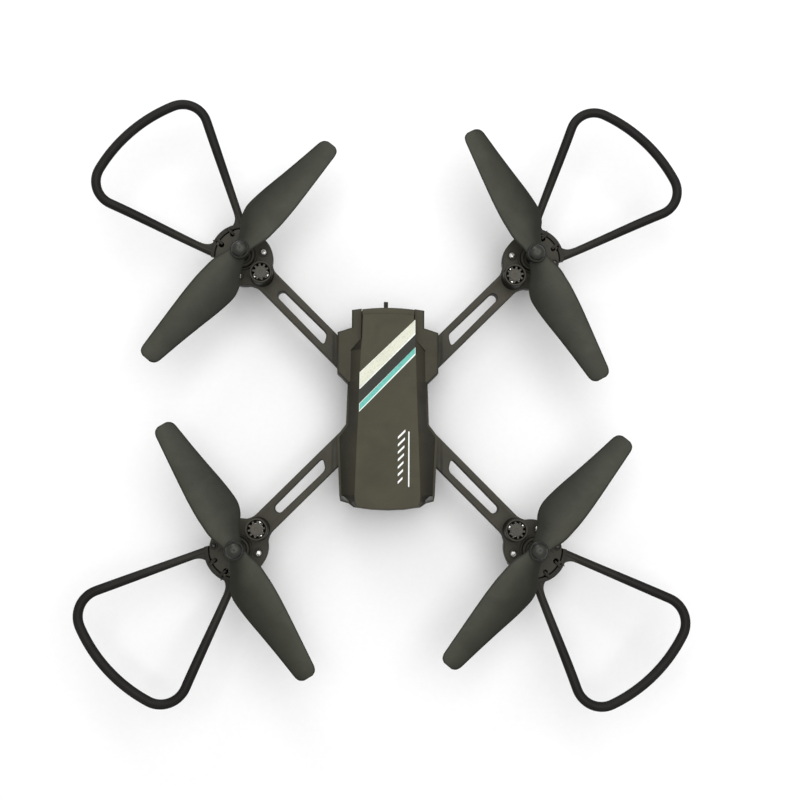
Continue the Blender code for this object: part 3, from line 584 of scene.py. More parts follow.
def block(size: Point3, centre: Point3, edge: float = 0.2, segments: int = 2) -> Mesh:
    """Box with rounded edges."""
    bm = bmesh.new()
    bmesh.ops.create_cube(bm, size=1.0)
    bmesh.ops.scale(bm, vec=size, verts=bm.verts)
    bmesh.ops.translate(bm, vec=centre, verts=bm.verts)
    bevel(bm, bm.edges[:], edge, segments)
    return bm


def bridged(rings: Sequence[Sequence[Point3]]) -> Mesh:
    """Skin over rings of equal point counts, closed at both ends."""
    bm = bmesh.new()
    loops = [closed_loop(bm, ring) for ring in rings]
    for low, high in zip(loops, loops[1:]):
        bmesh.ops.bridge_loops(bm, edges=low + high)
    for loop in (loops[0], loops[-1]):
        bmesh.ops.contextual_create(bm, geom=loop)
    bmesh.ops.recalc_face_normals(bm, faces=bm.faces)
    return bm


def moved(bm: Mesh, matrix: Matrix) -> Mesh:
    """The mesh after a transform, with its normals kept outwards."""
    bmesh.ops.transform(bm, matrix=matrix, verts=bm.verts)
    if matrix.determinant() < 0.0:
        bmesh.ops.reverse_faces(bm, faces=bm.faces)
    return bm


def spin(angle: float) -> Matrix:
    """Turn about the upright axis, in radians."""
    return Matrix.Rotation(angle, 4, "Z")


def baked(bm: Mesh, name: str) -> bpy.types.Mesh:
    """Mesh data from a working mesh, which is freed."""
    mesh = bpy.data.meshes.new(name)
    bm.to_mesh(mesh)
    bm.free()
    return mesh


def joined(parts: Iterable[Mesh]) -> Mesh:
    """One mesh out of several."""
    total = bmesh.new()
    for part in parts:
        mesh = baked(part, "part")
        total.from_mesh(mesh)
        bpy.data.meshes.remove(mesh)
    return total


def arc(centre: Point2, radius: float, start: float, end: float, count: int) -> list[Point2]:
    """Points along an arc, angles in degrees, both ends included."""
    return [(centre[0] + radius * math.cos(math.radians(start + (end - start) * k / count)),
             centre[1] + radius * math.sin(math.radians(start + (end - start) * k / count)))
            for k in range(count + 1)]


def ray(angle: float) -> Vector:
    """Unit vector at an angle, in radians."""
    return Vector((math.cos(angle), math.sin(angle)))


def bend(start: Vector, corner: Vector, end: Vector, count: int) -> list[Point2]:
    """Points on the curve that leaves start towards corner and comes to end, ends included."""
    return [tuple(start * (1 - t) ** 2 + corner * 2 * t * (1 - t) + end * t * t)
            for t in (k / count for k in range(count + 1))]


def rounded(corners: Sequence[Point2], radius: float, count: int = 4) -> list[Point2]:
    """Outline with every corner drawn as a smooth curve.

    Args:
        corners: sharp corners.
        radius: distance from the corner at which the curve starts, at most.
        count: facets of each corner.

    Returns:
        The rounded outline.
    """
    result = []
    for i, corner in enumerate(corners):
        here = Vector(corner)
        before = Vector(corners[i - 1]) - here
        after = Vector(corners[(i + 1) % len(corners)]) - here
        reach = min(radius, before.length * 0.45, after.length * 0.45)
        result += bend(here + before.normalized() * reach, here,
                       here + after.normalized() * reach, count)
    return result


def perforated(outline: Sequence[Point2], holes: Sequence[Sequence[Point2]], bottom: float,
               top: float, edge: float) -> Mesh:
    """Plate with holes and rounded rims, from a flat curve.

    Args:
        outline: outer edge, counter-clockwise.
        holes: edges of the holes, counter-clockwise.
        bottom: lower level.
        top: upper level.
        edge: rounding of all rims.

    Returns:
        A closed mesh.
    """
    curve = bpy.data.curves.new("plate", "CURVE")
    curve.dimensions = "2D"
    curve.fill_mode = "BOTH"
    curve.extrude = (top - bottom) / 2.0 - edge
    curve.bevel_depth = edge
    curve.bevel_resolution = 2
    for points in (inset(outline, edge), *(list(reversed(inset(hole, -edge))) for hole in holes)):
        spline = curve.splines.new("POLY")
        spline.points.add(len(points) - 1)
        for target, (x, y) in zip(spline.points, points):
            target.co = (x, y, 0.0, 1.0)
        spline.use_cyclic_u = True
    maker = placed("plate", curve)
    bm = evaluated(maker)
    bpy.data.objects.remove(maker)
    bmesh.ops.recalc_face_normals(bm, faces=bm.faces)
    bmesh.ops.translate(bm, verts=bm.verts, vec=(0.0, 0.0, (top + bottom) / 2.0))
    return bm


def inset(outline: Sequence[Point2], distance: float) -> list[Point2]:
    """The counter-clockwise outline moved inwards, corner by corner."""
    result = []
    for i, point in enumerate(outline):
        here = Vector(point)
        first = (here - Vector(outline[i - 1])).normalized()
        second = (Vector(outline[(i + 1) % len(outline)]) - here).normalized()
        normals = Vector((-first.y, first.x)), Vector((-second.y, second.x))
        spread = 1.0 + normals[0].dot(normals[1])
        result.append(tuple(here + (normals[0] + normals[1]) * distance / max(spread, 0.2)))
    return result


def placed(name: str, data: bpy.types.ID) -> bpy.types.Object:
    """New object of the scene, at the origin."""
    item = bpy.data.objects.new(name, data)
    bpy.context.scene.collection.objects.link(item)
    return item


def solid(bm: Mesh) -> bpy.types.Object:
    """Scratch object, for Booleans."""
    return placed("tool", baked(bm, "tool"))


def evaluated(item: bpy.types.Object) -> Mesh:
    """Mesh of an object after its modifiers, welded."""
    graph = bpy.context.evaluated_depsgraph_get()
    mesh = bpy.data.meshes.new_from_object(item.evaluated_get(graph))
    bm = bmesh.new()
    bm.from_mesh(mesh)
    bpy.data.meshes.remove(mesh)
    bmesh.ops.remove_doubles(bm, verts=bm.verts, dist=WELD)
    return bm


def carved(base: Mesh, tools: Sequence[Mesh], operation: str = "DIFFERENCE") -> Mesh:
    """Base after an exact Boolean with each tool.

    Args:
        base: closed mesh.
        tools: closed meshes.
        operation: DIFFERENCE or UNION.

    Returns:
        The new mesh.
    """
    item = solid(base)
    helpers = [solid(tool) for tool in tools]
    for helper in helpers:
        step = item.modifiers.new("cut", "BOOLEAN")
        step.operation = operation
        step.solver = "EXACT"
        step.use_self = operation == "UNION"
        step.object = helper
    bm = evaluated(item)
    for helper in (item, *helpers):
        bpy.data.objects.remove(helper)
    return bm


def softened(bm: Mesh, width: float, angle: float = 30.0, segments: int = 2) -> Mesh:
    """Flat areas cleaned up and every edge sharper than angle (degrees) rounded."""
    bmesh.ops.dissolve_limit(bm, angle_limit=math.radians(1.0), verts=bm.verts, edges=bm.edges)
    sharp = [e for e in bm.edges
             if len(e.link_faces) == 2 and e.calc_face_angle(0.0) > math.radians(angle)]
    bevel(bm, sharp, width, segments)
    bmesh.ops.remove_doubles(bm, verts=bm.verts, dist=WELD)
    return bm


def cad_copy(node: str) -> Mesh:
    """Welded copy of a CAD node, in millimetres."""
    bm = bmesh.new()
    bm.from_mesh(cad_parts[node].data)
    bmesh.ops.remove_doubles(bm, verts=bm.verts, dist=1e-6)
    bmesh.ops.scale(bm, vec=(1.0 / MM,) * 3, verts=bm.verts)
    return bm


def piece(bm: Mesh, name: str, finish: Material, body: str,
          replaced: Sequence[str] = (), smooth: float = 35.0) -> bpy.types.Object:
    """Finished piece that rides on a body.

    Args:
        bm: mesh in millimetres, in the body frame.
        name: name of the piece.
        finish: its material.
        body: CAD body that it rides on.
        replaced: CAD nodes that it stands for.
        smooth: edges sharper than this stay sharp, in degrees.

    Returns:
        The object.
    """
    bmesh.ops.scale(bm, vec=(MM,) * 3, verts=bm.verts)
    mesh = baked(bm, name)
    mesh.materials.append(finish)
    mesh.shade_smooth()
    mesh.set_sharp_from_angle(angle=math.radians(smooth))
    item = placed(name, mesh)
    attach(item, body)
    if replaced:
        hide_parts(*replaced)
    LOG.info("%s: %d faces on %s", name, len(mesh.polygons), body)
    return item


def corners(node: str) -> list[Vector]:
    """Lowest and highest corner of a CAD node's box, in millimetres."""
    return [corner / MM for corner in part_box(node)]


def levels(node: str) -> tuple[float, float]:
    """Lowest and highest level of a CAD node, in millimetres."""
    low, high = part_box(node)
    return low.z / MM, high.z / MM


def middle(node: str) -> Vector:
    """Centre of a CAD node's box, in millimetres."""
    low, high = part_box(node)
    return (low + high) / 2.0 / MM


def dress(node: str, finish: Material) -> None:
    """Gives a CAD node that stays in sight its finish."""
    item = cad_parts[node]
    item.data.materials.clear()
    item.data.materials.append(finish)
    LOG.info("%s keeps its CAD shape", node)


# ---- studio ---------------------------------------------------------------------------------
@dataclass
class Studio:
    """Camera above the drone, broad soft lights and a pale floor."""

    eye: Point3 = (-13.75, -48.68, 550.43)
    tilt: Point3 = (5.356, -2.194, 0.246)
    lens: float = 48.12
    floor_size: float = 6000.0
    sky: float = 0.62
    key_energy: float = 13.0

    def build(self) -> None:
        """Sets up the camera, the lights, the sky and the floor."""
        self.camera()
        self.lights()
        self.floor()

    def camera(self) -> None:
        """Adds the camera and makes it the scene's."""
        data = bpy.data.cameras.new("camera")
        data.lens = self.lens
        data.sensor_width = 36.0
        data.clip_start = 0.01
        item = placed("camera", data)
        item.location = Vector(self.eye) * MM
        item.rotation_euler = tuple(math.radians(a) for a in self.tilt)
        bpy.context.scene.camera = item

    def lights(self) -> None:
        """Adds a large overhead softbox, a long side strip and an even sky."""
        world = bpy.data.worlds.new("sky")
        bpy.context.scene.world = world
        world.use_nodes = True
        backdrop = world.node_tree.nodes["Background"]
        backdrop.inputs["Color"].default_value = (1.0, 1.0, 1.0, 1.0)
        backdrop.inputs["Strength"].default_value = self.sky
        self.softbox("overhead", (0.15, 0.25, 1.3), 1.5, self.key_energy)
        self.softbox("tail_strip", (-0.3, 1.1, 0.7), 0.5, self.key_energy * 0.25)
        bpy.context.scene.view_settings.view_transform = "Standard"

    def softbox(self, name: str, place: Point3, size: float, energy: float) -> None:
        """Adds an area light that faces the drone."""
        data = bpy.data.lights.new(name, "AREA")
        data.size = size
        data.energy = energy
        item = placed(name, data)
        item.location = place
        item.rotation_euler = (-Vector(place)).to_track_quat("-Z", "Y").to_euler()

    def floor(self) -> None:
        """Adds the floor at the drone's feet."""
        bm = bmesh.new()
        bmesh.ops.create_grid(bm, x_segments=8, y_segments=8, size=self.floor_size / 2.0 * MM)
        mesh = baked(bm, "floor")
        mesh.materials.append(StudioPaper("floor_paper", (0.90, 0.90, 0.90)).build())
        item = placed("floor", mesh)
        item.location.z = cad_box[0].z


# ---- body -----------------------------------------------------------------------------------
# Stripes: Y of the tail and nose edges at the drone's right side, then at its left side.
CREAM_BAND = ((13.2, 4.9), (39.4, 32.1))
MIDDLE_BAND = ((4.6, -1.8), (31.9, 26.0))
TEAL_BAND = ((-2.0, -6.1), (25.8, 22.0))


@dataclass
class Body:
    """Top cover, belly, tail panel, switch, headlights and what lies inside."""

    palette: Palette
    tail_half: float = 17.9
    tail_y: float = 44.9
    tail_crown: float = 1.5
    shoulder_half: float = 24.9
    rear_span: tuple[float, float] = (8.8, 11.2)
    rear_run: tuple[float, float] = (2.3, 5.2)
    waist: tuple[float, float] = (19.7, 20.4)
    front_span: float = 7.6
    front_run: float = 5.7
    nose_start: float = -46.5
    nose_corner: tuple[Point2, ...] = ((22.8, -49.1), (18.9, -50.2), (16.2, -52.1))
    nose_y: float = -53.6
    rim_level: float = 26.6
    pad_level: float = 30.2
    rear_end: float = 7.9
    strip_y: float = 42.5
    seam_width: float = 0.45
    wall: float = 1.4
    pocket_depth: float = 5.0
    pad_half: float = 17.0
    hidden_level: float = 25.2
    panel_lean: float = 0.085
    stripe_taper: float = 0.0075833
    plateau_edge: tuple[Point2, ...] = ((12.55, 41.9), (12.9, 30.4), (13.35, 24.4), (13.9, 9.0),
                                        (14.25, -3.0), (14.6, -12.4), (14.9, -17.8),
                                        (15.9, -46.2), (15.75, -49.4), (14.9, -51.7),
                                        (7.6, -52.9))
    foot_edge: tuple[Point3, ...] = ((12.65, 41.9, 29.9), (13.0, 30.2, 29.9), (18.3, 24.4, 30.1),
                                     (18.8, 9.0, 29.9), (18.9, -3.0, 27.7), (19.4, -12.3, 27.4),
                                     (23.6, -17.9, 26.5), (22.4, -46.1, 26.5),
                                     (18.2, -49.6, 26.6), (15.4, -52.1, 28.2),
                                     (7.8, -53.3, 28.4))

    def build(self) -> None:
        """Builds and dresses every piece of the body."""
        self.top_cover()
        self.tail_panel()
        self.prints()
        self.bottom_shell()
        self.battery_door()
        self.headlights()
        self.switch()
        self.inside()

    def half_outline(self) -> list[Point2]:
        """Left half of the body, from the middle of the tail to the middle of the nose."""
        out_a = self.shoulder_half + self.rear_span[0]
        out_b = self.shoulder_half - self.rear_span[1]
        front = self.front_span - self.shoulder_half
        points = [(0.0, self.tail_y + self.tail_crown),
                  (self.tail_half * 0.5, self.tail_y + self.tail_crown * 0.78),
                  (self.tail_half, self.tail_y - 0.1),
                  (self.tail_half, out_a + self.rear_run[0]),
                  (self.shoulder_half, out_a), (self.shoulder_half, out_b),
                  (self.waist[0], out_b - self.rear_run[1]),
                  (self.waist[1], front + self.front_run), (self.shoulder_half - 0.2, front),
                  (self.shoulder_half - 1.6, self.nose_start)]
        points += list(self.nose_corner)
        points += [(self.nose_corner[2][0] * 0.5, self.nose_y + 0.35), (0.0, self.nose_y)]
        return points

    @staticmethod
    def mirrored(half: Sequence[Sequence[float]]) -> list[tuple[float, ...]]:
        """Whole outline, counter-clockwise from above, from its left half."""
        right = [(-p[0], *p[1:]) for p in half]
        return right + [tuple(p) for p in reversed(half) if p[0] > 0.0]

    def top_cover(self) -> None:
        """Cover with flat shoulders, and a raised middle between its side bands."""
        seam, top = levels("top_cover")
        half = self.half_outline()
        bm = slab(self.mirrored(half), seam, self.rim_level, 0.9, 3, True)
        floor = min(bm.faces, key=lambda f: f.calc_center_median().z)
        bmesh.ops.inset_individual(bm, faces=[floor], thickness=self.wall, depth=0.0,
                                   use_even_offset=True)
        bmesh.ops.inset_individual(bm, faces=[floor], thickness=0.05, depth=-self.pocket_depth,
                                   use_even_offset=True)
        rear = [p for p in half if p[1] > self.rear_end]
        rear += [(self.pad_half, self.rear_end), (0.0, self.rear_end)]
        pads = slab(inset(self.mirrored(rear), 0.05), self.rim_level - 1.0, self.pad_level,
                    1.1, 3, True)
        foot = [(0.0, self.strip_y, self.pad_level - 0.3), *self.foot_edge,
                (0.0, self.nose_y + 0.15, 28.4)]
        edge = [(0.0, self.strip_y, top), *((x, y, top) for x, y in self.plateau_edge),
                (0.0, self.nose_y + 0.45, top)]
        low = [(x, y, self.hidden_level) for x, y, _ in foot]
        raised = bridged([self.mirrored(ring) for ring in (low, foot, edge)])
        rims = [e for e in raised.edges if all(abs(v.co.z - top) < WELD for v in e.verts)
                and e.calc_face_angle(0.0) > 0.1]
        bevel(raised, rims, 0.35, 2)
        bm = carved(bm, [pads, raised], "UNION")
        bm = carved(bm, [*self.grooves(top), *self.windows(), self.strip_recess()])
        piece(bm, "top_cover_shell", self.palette.cover, "airframe",
              ("top_cover",), 14.0)

    def strip_recess(self) -> Mesh:
        """Room for the tail panel."""
        half = corners("tail_panel")[1].x + 0.25
        return block((2.0 * half, 12.0, 30.0), (0.0, self.strip_y - self.seam_width + 6.0, 35.0),
                     0.02, 1)

    def grooves(self, top: float) -> list[Mesh]:
        """Cutters for the seams that run beside the raised middle at the tail."""
        tools = []
        for side in Side:
            for (x0, y0, z0), (x1, y1, z1) in (((12.9, 44.2, 28.9), (13.15, 30.0, 28.9)),
                                               ((13.15, 30.1, 29.2), (18.35, 24.3, 28.9))):
                start, end = Vector((x0, y0)), Vector((x1, y1))
                run = end - start
                across = Vector((run.y, -run.x)).normalized() * self.seam_width / 2.0
                tool = slab([start - across, start + across, end + across, end - across],
                            min(z0, z1), top + 2.0)
                if side is Side.RIGHT:
                    tool = moved(tool, Matrix.Scale(-1.0, 4, (1.0, 0.0, 0.0)))
                bmesh.ops.recalc_face_normals(tool, faces=tool.faces)
                tools.append(tool)
        return tools

    def windows(self) -> list[Mesh]:
        """Cutters where the arms run in."""
        size, length = ArmSizes(), 30.0
        tools = []
        for name in (pod_name(side, end) for side in Side for end in End):
            bottom, top = levels(f"arm_{name}")[0] - 1.0, size.top + 0.3
            tool = block((length, size.width + 0.7, top - bottom),
                         (-size.root_reach - 0.6 + length / 2.0, 0.0, (top + bottom) / 2.0),
                         0.02, 1)
            tools.append(moved(tool, pod_frame(name)))
        return tools

    def tail_panel(self) -> None:
        """Strip across the tail, which leans forward, with the switch's slot."""
        low, high = corners("tail_panel")
        front = self.strip_y - self.seam_width * 0.5 + 0.35
        count = 8
        arc_back = [(low.x + (high.x - low.x) * (1.0 - k / count),
                     self.tail_y + self.tail_crown * (1.0 - 0.55 * (1.0 - 2.0 * k / count) ** 2))
                    for k in range(count + 1)]
        bm = slab([(low.x, front), (high.x, front), *arc_back], low.z, high.z, 0.3, 3)
        lean = Matrix.Identity(4)
        lean[1][2] = -self.panel_lean
        offset = Matrix.Translation((0.0, 0.0, low.z))
        bmesh.ops.transform(bm, matrix=offset @ lean @ offset.inverted(), verts=bm.verts)
        centre = middle("switch_lever")
        slot = block((7.2, 12.0, 2.6), (0.0, self.tail_y, centre.z), 0.3, 2)
        piece(carved(bm, [slot]), "tail_strip", self.palette.cover, "airframe",
              ("tail_panel",), 30.0)

    def prints(self) -> None:
        """Slanting stripes and a plain bar mark on the raised middle."""
        top = levels("top_cover")[1]
        left, right, taper = -13.75, 13.25, self.stripe_taper
        rows = (("stripe_white_edge", CREAM_BAND, self.palette.white, 0.0, 0.0),
                ("stripe_cream", CREAM_BAND, self.palette.cream, 0.15, 0.65),
                ("stripe_band", MIDDLE_BAND, self.palette.band, 0.0, 0.0),
                ("stripe_teal_edge", TEAL_BAND, self.palette.white, 0.0, 0.0),
                ("stripe_teal", TEAL_BAND, self.palette.teal, 0.15, 0.7))
        for name, (at_left, at_right), ink, upper, lower in rows:
            corners = [(left - (25.0 - y) * taper, y) for y in at_left]
            corners += [(right + (25.0 - y) * taper, y) for y in reversed(at_right)]
            shift = (-upper, lower, lower, -upper)
            side = 0.18 if upper else 0.0
            corners = [(x + (side if x < 0.0 else -side), y + dy)
                       for (x, y), dy in zip(corners, shift)]
            lift = 0.02 + 0.015 * (upper > 0.0)
            piece(slab(rounded(corners, 0.25, 2), top - 0.05, top + lift), name, ink, "airframe")
        self.mark(top)

    def mark(self, top: float) -> None:
        """Seven slanting bars beside a thin line: a plain mark that says nothing."""
        parts = []
        for k in range(7):
            y = -18.0 - 3.6 * k
            width = 3.6 - 0.22 * k
            corners = [(4.9, y - 1.2), (4.9 + width, y - 1.2 + width), (4.9 + width, y + width),
                       (4.9, y)]
            parts.append(slab(rounded(corners, 0.2, 2), top - 0.05, top + 0.03))
        line = [(9.9, -42.2), (10.5, -42.2), (10.5, -15.4), (9.9, -15.4)]
        parts.append(slab(rounded(line, 0.2, 2), top - 0.05, top + 0.03))
        piece(joined(parts), "bar_mark", self.palette.white, "airframe")

    def bottom_shell(self) -> None:
        """Belly with rounded edges and its cover screws."""
        piece(softened(cad_copy("bottom_shell"), 0.25), "belly_shell", self.palette.belly,
              "airframe", ("bottom_shell",), 30.0)
        belly = levels("bottom_shell")[0]
        parts = []
        for x, y in ((-17.6, -33.0), (17.6, -33.0), (-17.6, 30.0), (17.6, 30.0)):
            profile = [(0.0, 0.5), (1.5, 0.5), (1.5, 0.05), (1.2, -0.15), (0.5, -0.25),
                       (0.42, 0.05), (0.0, 0.1)]
            parts.append(turned(profile, 16, (x, y), level=belly))
        piece(joined(parts), "belly_screws", self.palette.black_steel, "airframe")

    def battery_door(self) -> None:
        """Sliding belly door with grip ribs."""
        door = softened(cad_copy("battery_door"), 0.2)
        low, high = corners("battery_door")
        ribs = [block((13.0, 0.5, 0.5), (0.0, high.y - 12.0 - 1.4 * k, low.z + 1.15), 0.15, 1)
                for k in range(6)]
        piece(joined([door, *ribs]), "battery_door_panel", self.palette.belly, "belly_door",
              ("battery_door",), 30.0)

    def headlights(self) -> None:
        """Corner lenses with softened edges."""
        for name in ("left", "right"):
            node = f"headlight_{name}"
            piece(softened(cad_copy(node), 0.25), f"{node}_lens", self.palette.lens, "airframe",
                  (node,), 30.0)

    def switch(self) -> None:
        """Slide switch in its tin case and its ribbed lever."""
        piece(softened(cad_copy("switch_body"), 0.2), "switch_case", self.palette.steel,
              "airframe", ("switch_body",))
        low, high = corners("switch_lever")
        size, centre = high - low, (high + low) / 2.0
        lever = block(tuple(size), tuple(centre), 0.25, 3)
        grips = [block((size.x + 0.3, 0.25, 0.3), (centre.x, high.y - 0.6 - 0.6 * k,
                                                   high.z), 0.08, 1) for k in range(4)]
        piece(joined([lever, *grips]), "switch_knob", self.palette.belly, "power_lever",
              ("switch_lever",))

    def inside(self) -> None:
        """Battery and circuit board."""
        piece(softened(cad_copy("circuit_board"), 0.1), "board_laminate", self.palette.board,
              "airframe", ("circuit_board",))
        dress("battery_pack", self.palette.wrap)


# ---- pods -----------------------------------------------------------------------------------
SCREW_RADIUS = 1.45
DARK_SCREW_RADIUS = 1.1


def pod_name(side: Side, end: End) -> str:
    """Name of the pod at a corner, such as rear_left."""
    return f"{'rear' if end is End.TAIL else 'front'}_{side.name.lower()}"


def pod_frame(name: str) -> Matrix:
    """Matrix of a pod frame: origin under the propeller axis, +X outwards along the arm."""
    axis = middle(f"prop_shaft_{name}")
    turn = spin(math.atan2(axis.y, axis.x))
    return Matrix.Translation((axis.x, axis.y, 0.0)) @ turn


@dataclass(frozen=True)
class ArmSizes:
    """Sizes of an arm, in its pod frame."""

    bottom: float = 17.0
    top: float = 23.0
    width: float = 11.6
    root_reach: float = 78.9
    plate_radius: float = 13.8
    plate_shift: float = 1.6
    junction: float = 15.8
    tower_reach: float = 13.8
    tower_radius: float = 5.5
    tower_bore: float = 4.45
    tower_top: float = 31.5
    motor_bore: float = 3.8
    shaft_bore: float = 1.1
    slot_near: float = 26.0
    slot_far: float = 58.9
    slot_half: tuple[float, float] = (2.2, 2.6)
    slot_slant: float = 1.6
    peg: Point2 = (11.9, 3.7)
    screw: Point2 = (-6.0, 8.5)
    dark_screw: Point2 = (7.0, 9.2)
    collar_reach: float = 65.0
    edge: float = 0.55


@dataclass
class Pod:
    """One arm with its gear pod, motor tower, screws, foot, guard and propeller."""

    name: str
    side: Side
    end: End
    blade_angle: float
    hand: Hand
    guard_turn: float
    palette: Palette
    sizes: ArmSizes = field(default_factory=ArmSizes)
    cup_radius: float = 13.96
    cup_wall: float = 1.0
    foot_reach: float = -5.0
    leg_height: float = 11.0
    motor_hole: float = 3.4

    def build(self) -> None:
        """Builds and dresses every piece of the pod."""
        self.arm()
        self.bush()
        self.cup()
        self.end_cap()
        self.screws()
        Guard(self.name, self.palette, self.sizes, turn=self.guard_turn).build()
        Propeller(self.name, self.blade_angle, self.hand, self.palette).build()
        self.drive()

    def add(self, parts: Sequence[Mesh], name: str, finish: Material, slot: str,
            replaced: Sequence[str] = (), smooth: float = 35.0) -> bpy.types.Object:
        """Places parts of the pod frame on the airframe as one piece."""
        bm = moved(joined(parts), pod_frame(self.name))
        return piece(bm, f"{name}_{self.name}", finish, "airframe",
                     [f"{node}_{self.name}" for node in replaced], smooth)

    def arm_outline(self) -> list[Point2]:
        """Edge of the arm and its plate."""
        size = self.sizes
        half = size.width / 2.0
        reach = math.degrees(math.asin(half / size.plate_radius)) + 9.0
        plate = []
        for u, v in arc((0.0, 0.0), size.plate_radius, -180.0 + reach, 180.0 - reach, 44):
            plate.append((u - size.plate_shift * min(max(-u / 4.0, 0.0), 1.0), v))
        fillet = bend(Vector((-size.junction - 2.2, -half)), Vector((-size.junction, -half)),
                      Vector(plate[0]), 5)[:-1]
        return ([(-size.root_reach, half), (-size.root_reach, -half)] + fillet + plate
                + [(u, -v) for u, v in reversed(fillet)])

    def slot_outline(self) -> list[Point2]:
        """Slot with a round pod end and a slanting body end."""
        size = self.sizes
        near, far = size.slot_half
        waist = -self.side.value * self.end.value * size.slot_slant
        round_end = arc((-size.slot_near - near, 0.0), near, -90.0, 90.0, 12)
        body_end = rounded([(-size.slot_near - 8.0, near), (-size.slot_far - waist, far),
                            (-size.slot_far + waist, -far), (-size.slot_near - 8.0, -near)],
                           2.2, 5)[6:18]
        return round_end + body_end

    @staticmethod
    def circle(u: float, radius: float, count: int) -> list[Point2]:
        """Round hole on the arm's middle line."""
        return arc((u, 0.0), radius, 0.0, 360.0 * (count - 1) / count, count - 1)

    def tear_drop(self, sign: float) -> list[Point2]:
        """Splayed tear-drop hole that a guard peg snaps into."""
        u, v = self.sizes.peg
        bow = arc((0.0, 0.0), 0.85, 60.0, 300.0, 10)
        turn = Matrix.Rotation(math.radians(16.0), 2)
        points = [turn @ Vector(p) for p in [*bow, (2.3, 0.0)]]
        outline = [(u + p.x - 0.5, v + p.y) for p in points]
        return outline if sign > 0 else [(a, -b) for a, b in reversed(outline)]

    def arm(self) -> None:
        """Arm, plate, shaft boss and motor tower."""
        size = self.sizes
        holes = [self.slot_outline(), self.tear_drop(1.0), self.tear_drop(-1.0),
                 self.circle(0.0, size.shaft_bore, 16),
                 self.circle(-size.tower_reach, size.motor_bore, 28)]
        plate = perforated(self.arm_outline(), holes, size.bottom, size.top, size.edge)
        parts = [plate, *self.towers(), *self.lugs(), *self.facets()]
        self.add(parts, "arm_moulding", self.palette.arm, "dark_plastic", ["arm"], 32.0)

    def towers(self) -> list[Mesh]:
        """Ringed shaft boss with its tube, and the motor tower."""
        size = self.sizes
        top, rim, outer, bore = size.top, size.tower_top, size.tower_radius, size.tower_bore
        boss = [(7.3, -0.2), (7.3, 0.7), (6.95, 1.05), (6.6, 1.05), (6.45, 0.7), (6.3, 0.7),
                (6.05, 2.3), (5.75, 2.6), (4.9, 2.6), (4.55, 2.2), (4.4, 1.2), (3.2, 1.2),
                (2.9, 1.5), (2.7, 2.2), (2.65, 7.7), (2.35, 8.0), (size.shaft_bore, 8.0),
                (size.shaft_bore, -0.2)]
        tower = [(outer + 0.55, top - 0.2), (outer + 0.3, top + 0.25), (outer + 0.05, top + 0.7),
                 (outer, top + 1.4), (outer, rim - 0.45), (outer - 0.3, rim - 0.05),
                 (bore + 0.3, rim), (bore + 0.02, rim - 0.25), (bore, top + 1.3),
                 (size.motor_bore, top + 1.0), (size.motor_bore, top - 0.2)]
        return [turned(boss, 56, ring=True, level=top),
                turned(tower, 56, (-size.tower_reach, 0.0), ring=True)]

    def lugs(self) -> list[Mesh]:
        """Counterbored lugs round the four screws, and two ribs before the peg holes."""
        top = self.sizes.top
        parts = []
        for (u, v), head in ((self.sizes.screw, SCREW_RADIUS),
                             (self.sizes.dark_screw, DARK_SCREW_RADIUS)):
            lug = [(head + 0.85, -0.2), (head + 0.85, 0.4), (head + 0.7, 0.55),
                   (head + 0.35, 0.55), (head + 0.25, 0.45), (head + 0.25, 0.1), (0.7, 0.1),
                   (0.7, -0.2)]
            parts += [turned(lug, 24, (u, sign * v), True, top) for sign in (-1.0, 1.0)]
        u, v = self.sizes.peg
        for sign in (-1.0, 1.0):
            rib = block((3.2, 0.35, 0.35), (u - 5.2, sign * (v + 1.2), top + 0.12), 0.12, 1)
            parts.append(moved(rib, spin(sign * 0.12)))
        return parts

    def facets(self) -> list[Mesh]:
        """Two thin ridges across the arm's root, parallel to the side of the body."""
        size = self.sizes
        slant = spin(math.radians(-45.0 * self.side.value * self.end.value))
        parts = []
        for reach, height in ((size.collar_reach, 0.16), (size.collar_reach - 0.9, 0.3)):
            ridge = block((0.45, size.width * 1.30, 0.6), (0.0, 0.0, size.top + height - 0.3),
                          0.12, 2)
            parts.append(moved(ridge, Matrix.Translation((-reach, 0.0, 0.0)) @ slant))
        return parts

    def bush(self) -> None:
        """Brass bush at the top of the shaft tube."""
        bush = turned([(2.2, 7.7), (2.2, 8.25), (1.9, 8.45), (1.05, 8.45), (1.05, 7.7)], 32,
                      ring=True, level=self.sizes.top)
        self.add([bush], "shaft_bush", self.palette.brass, "steel")

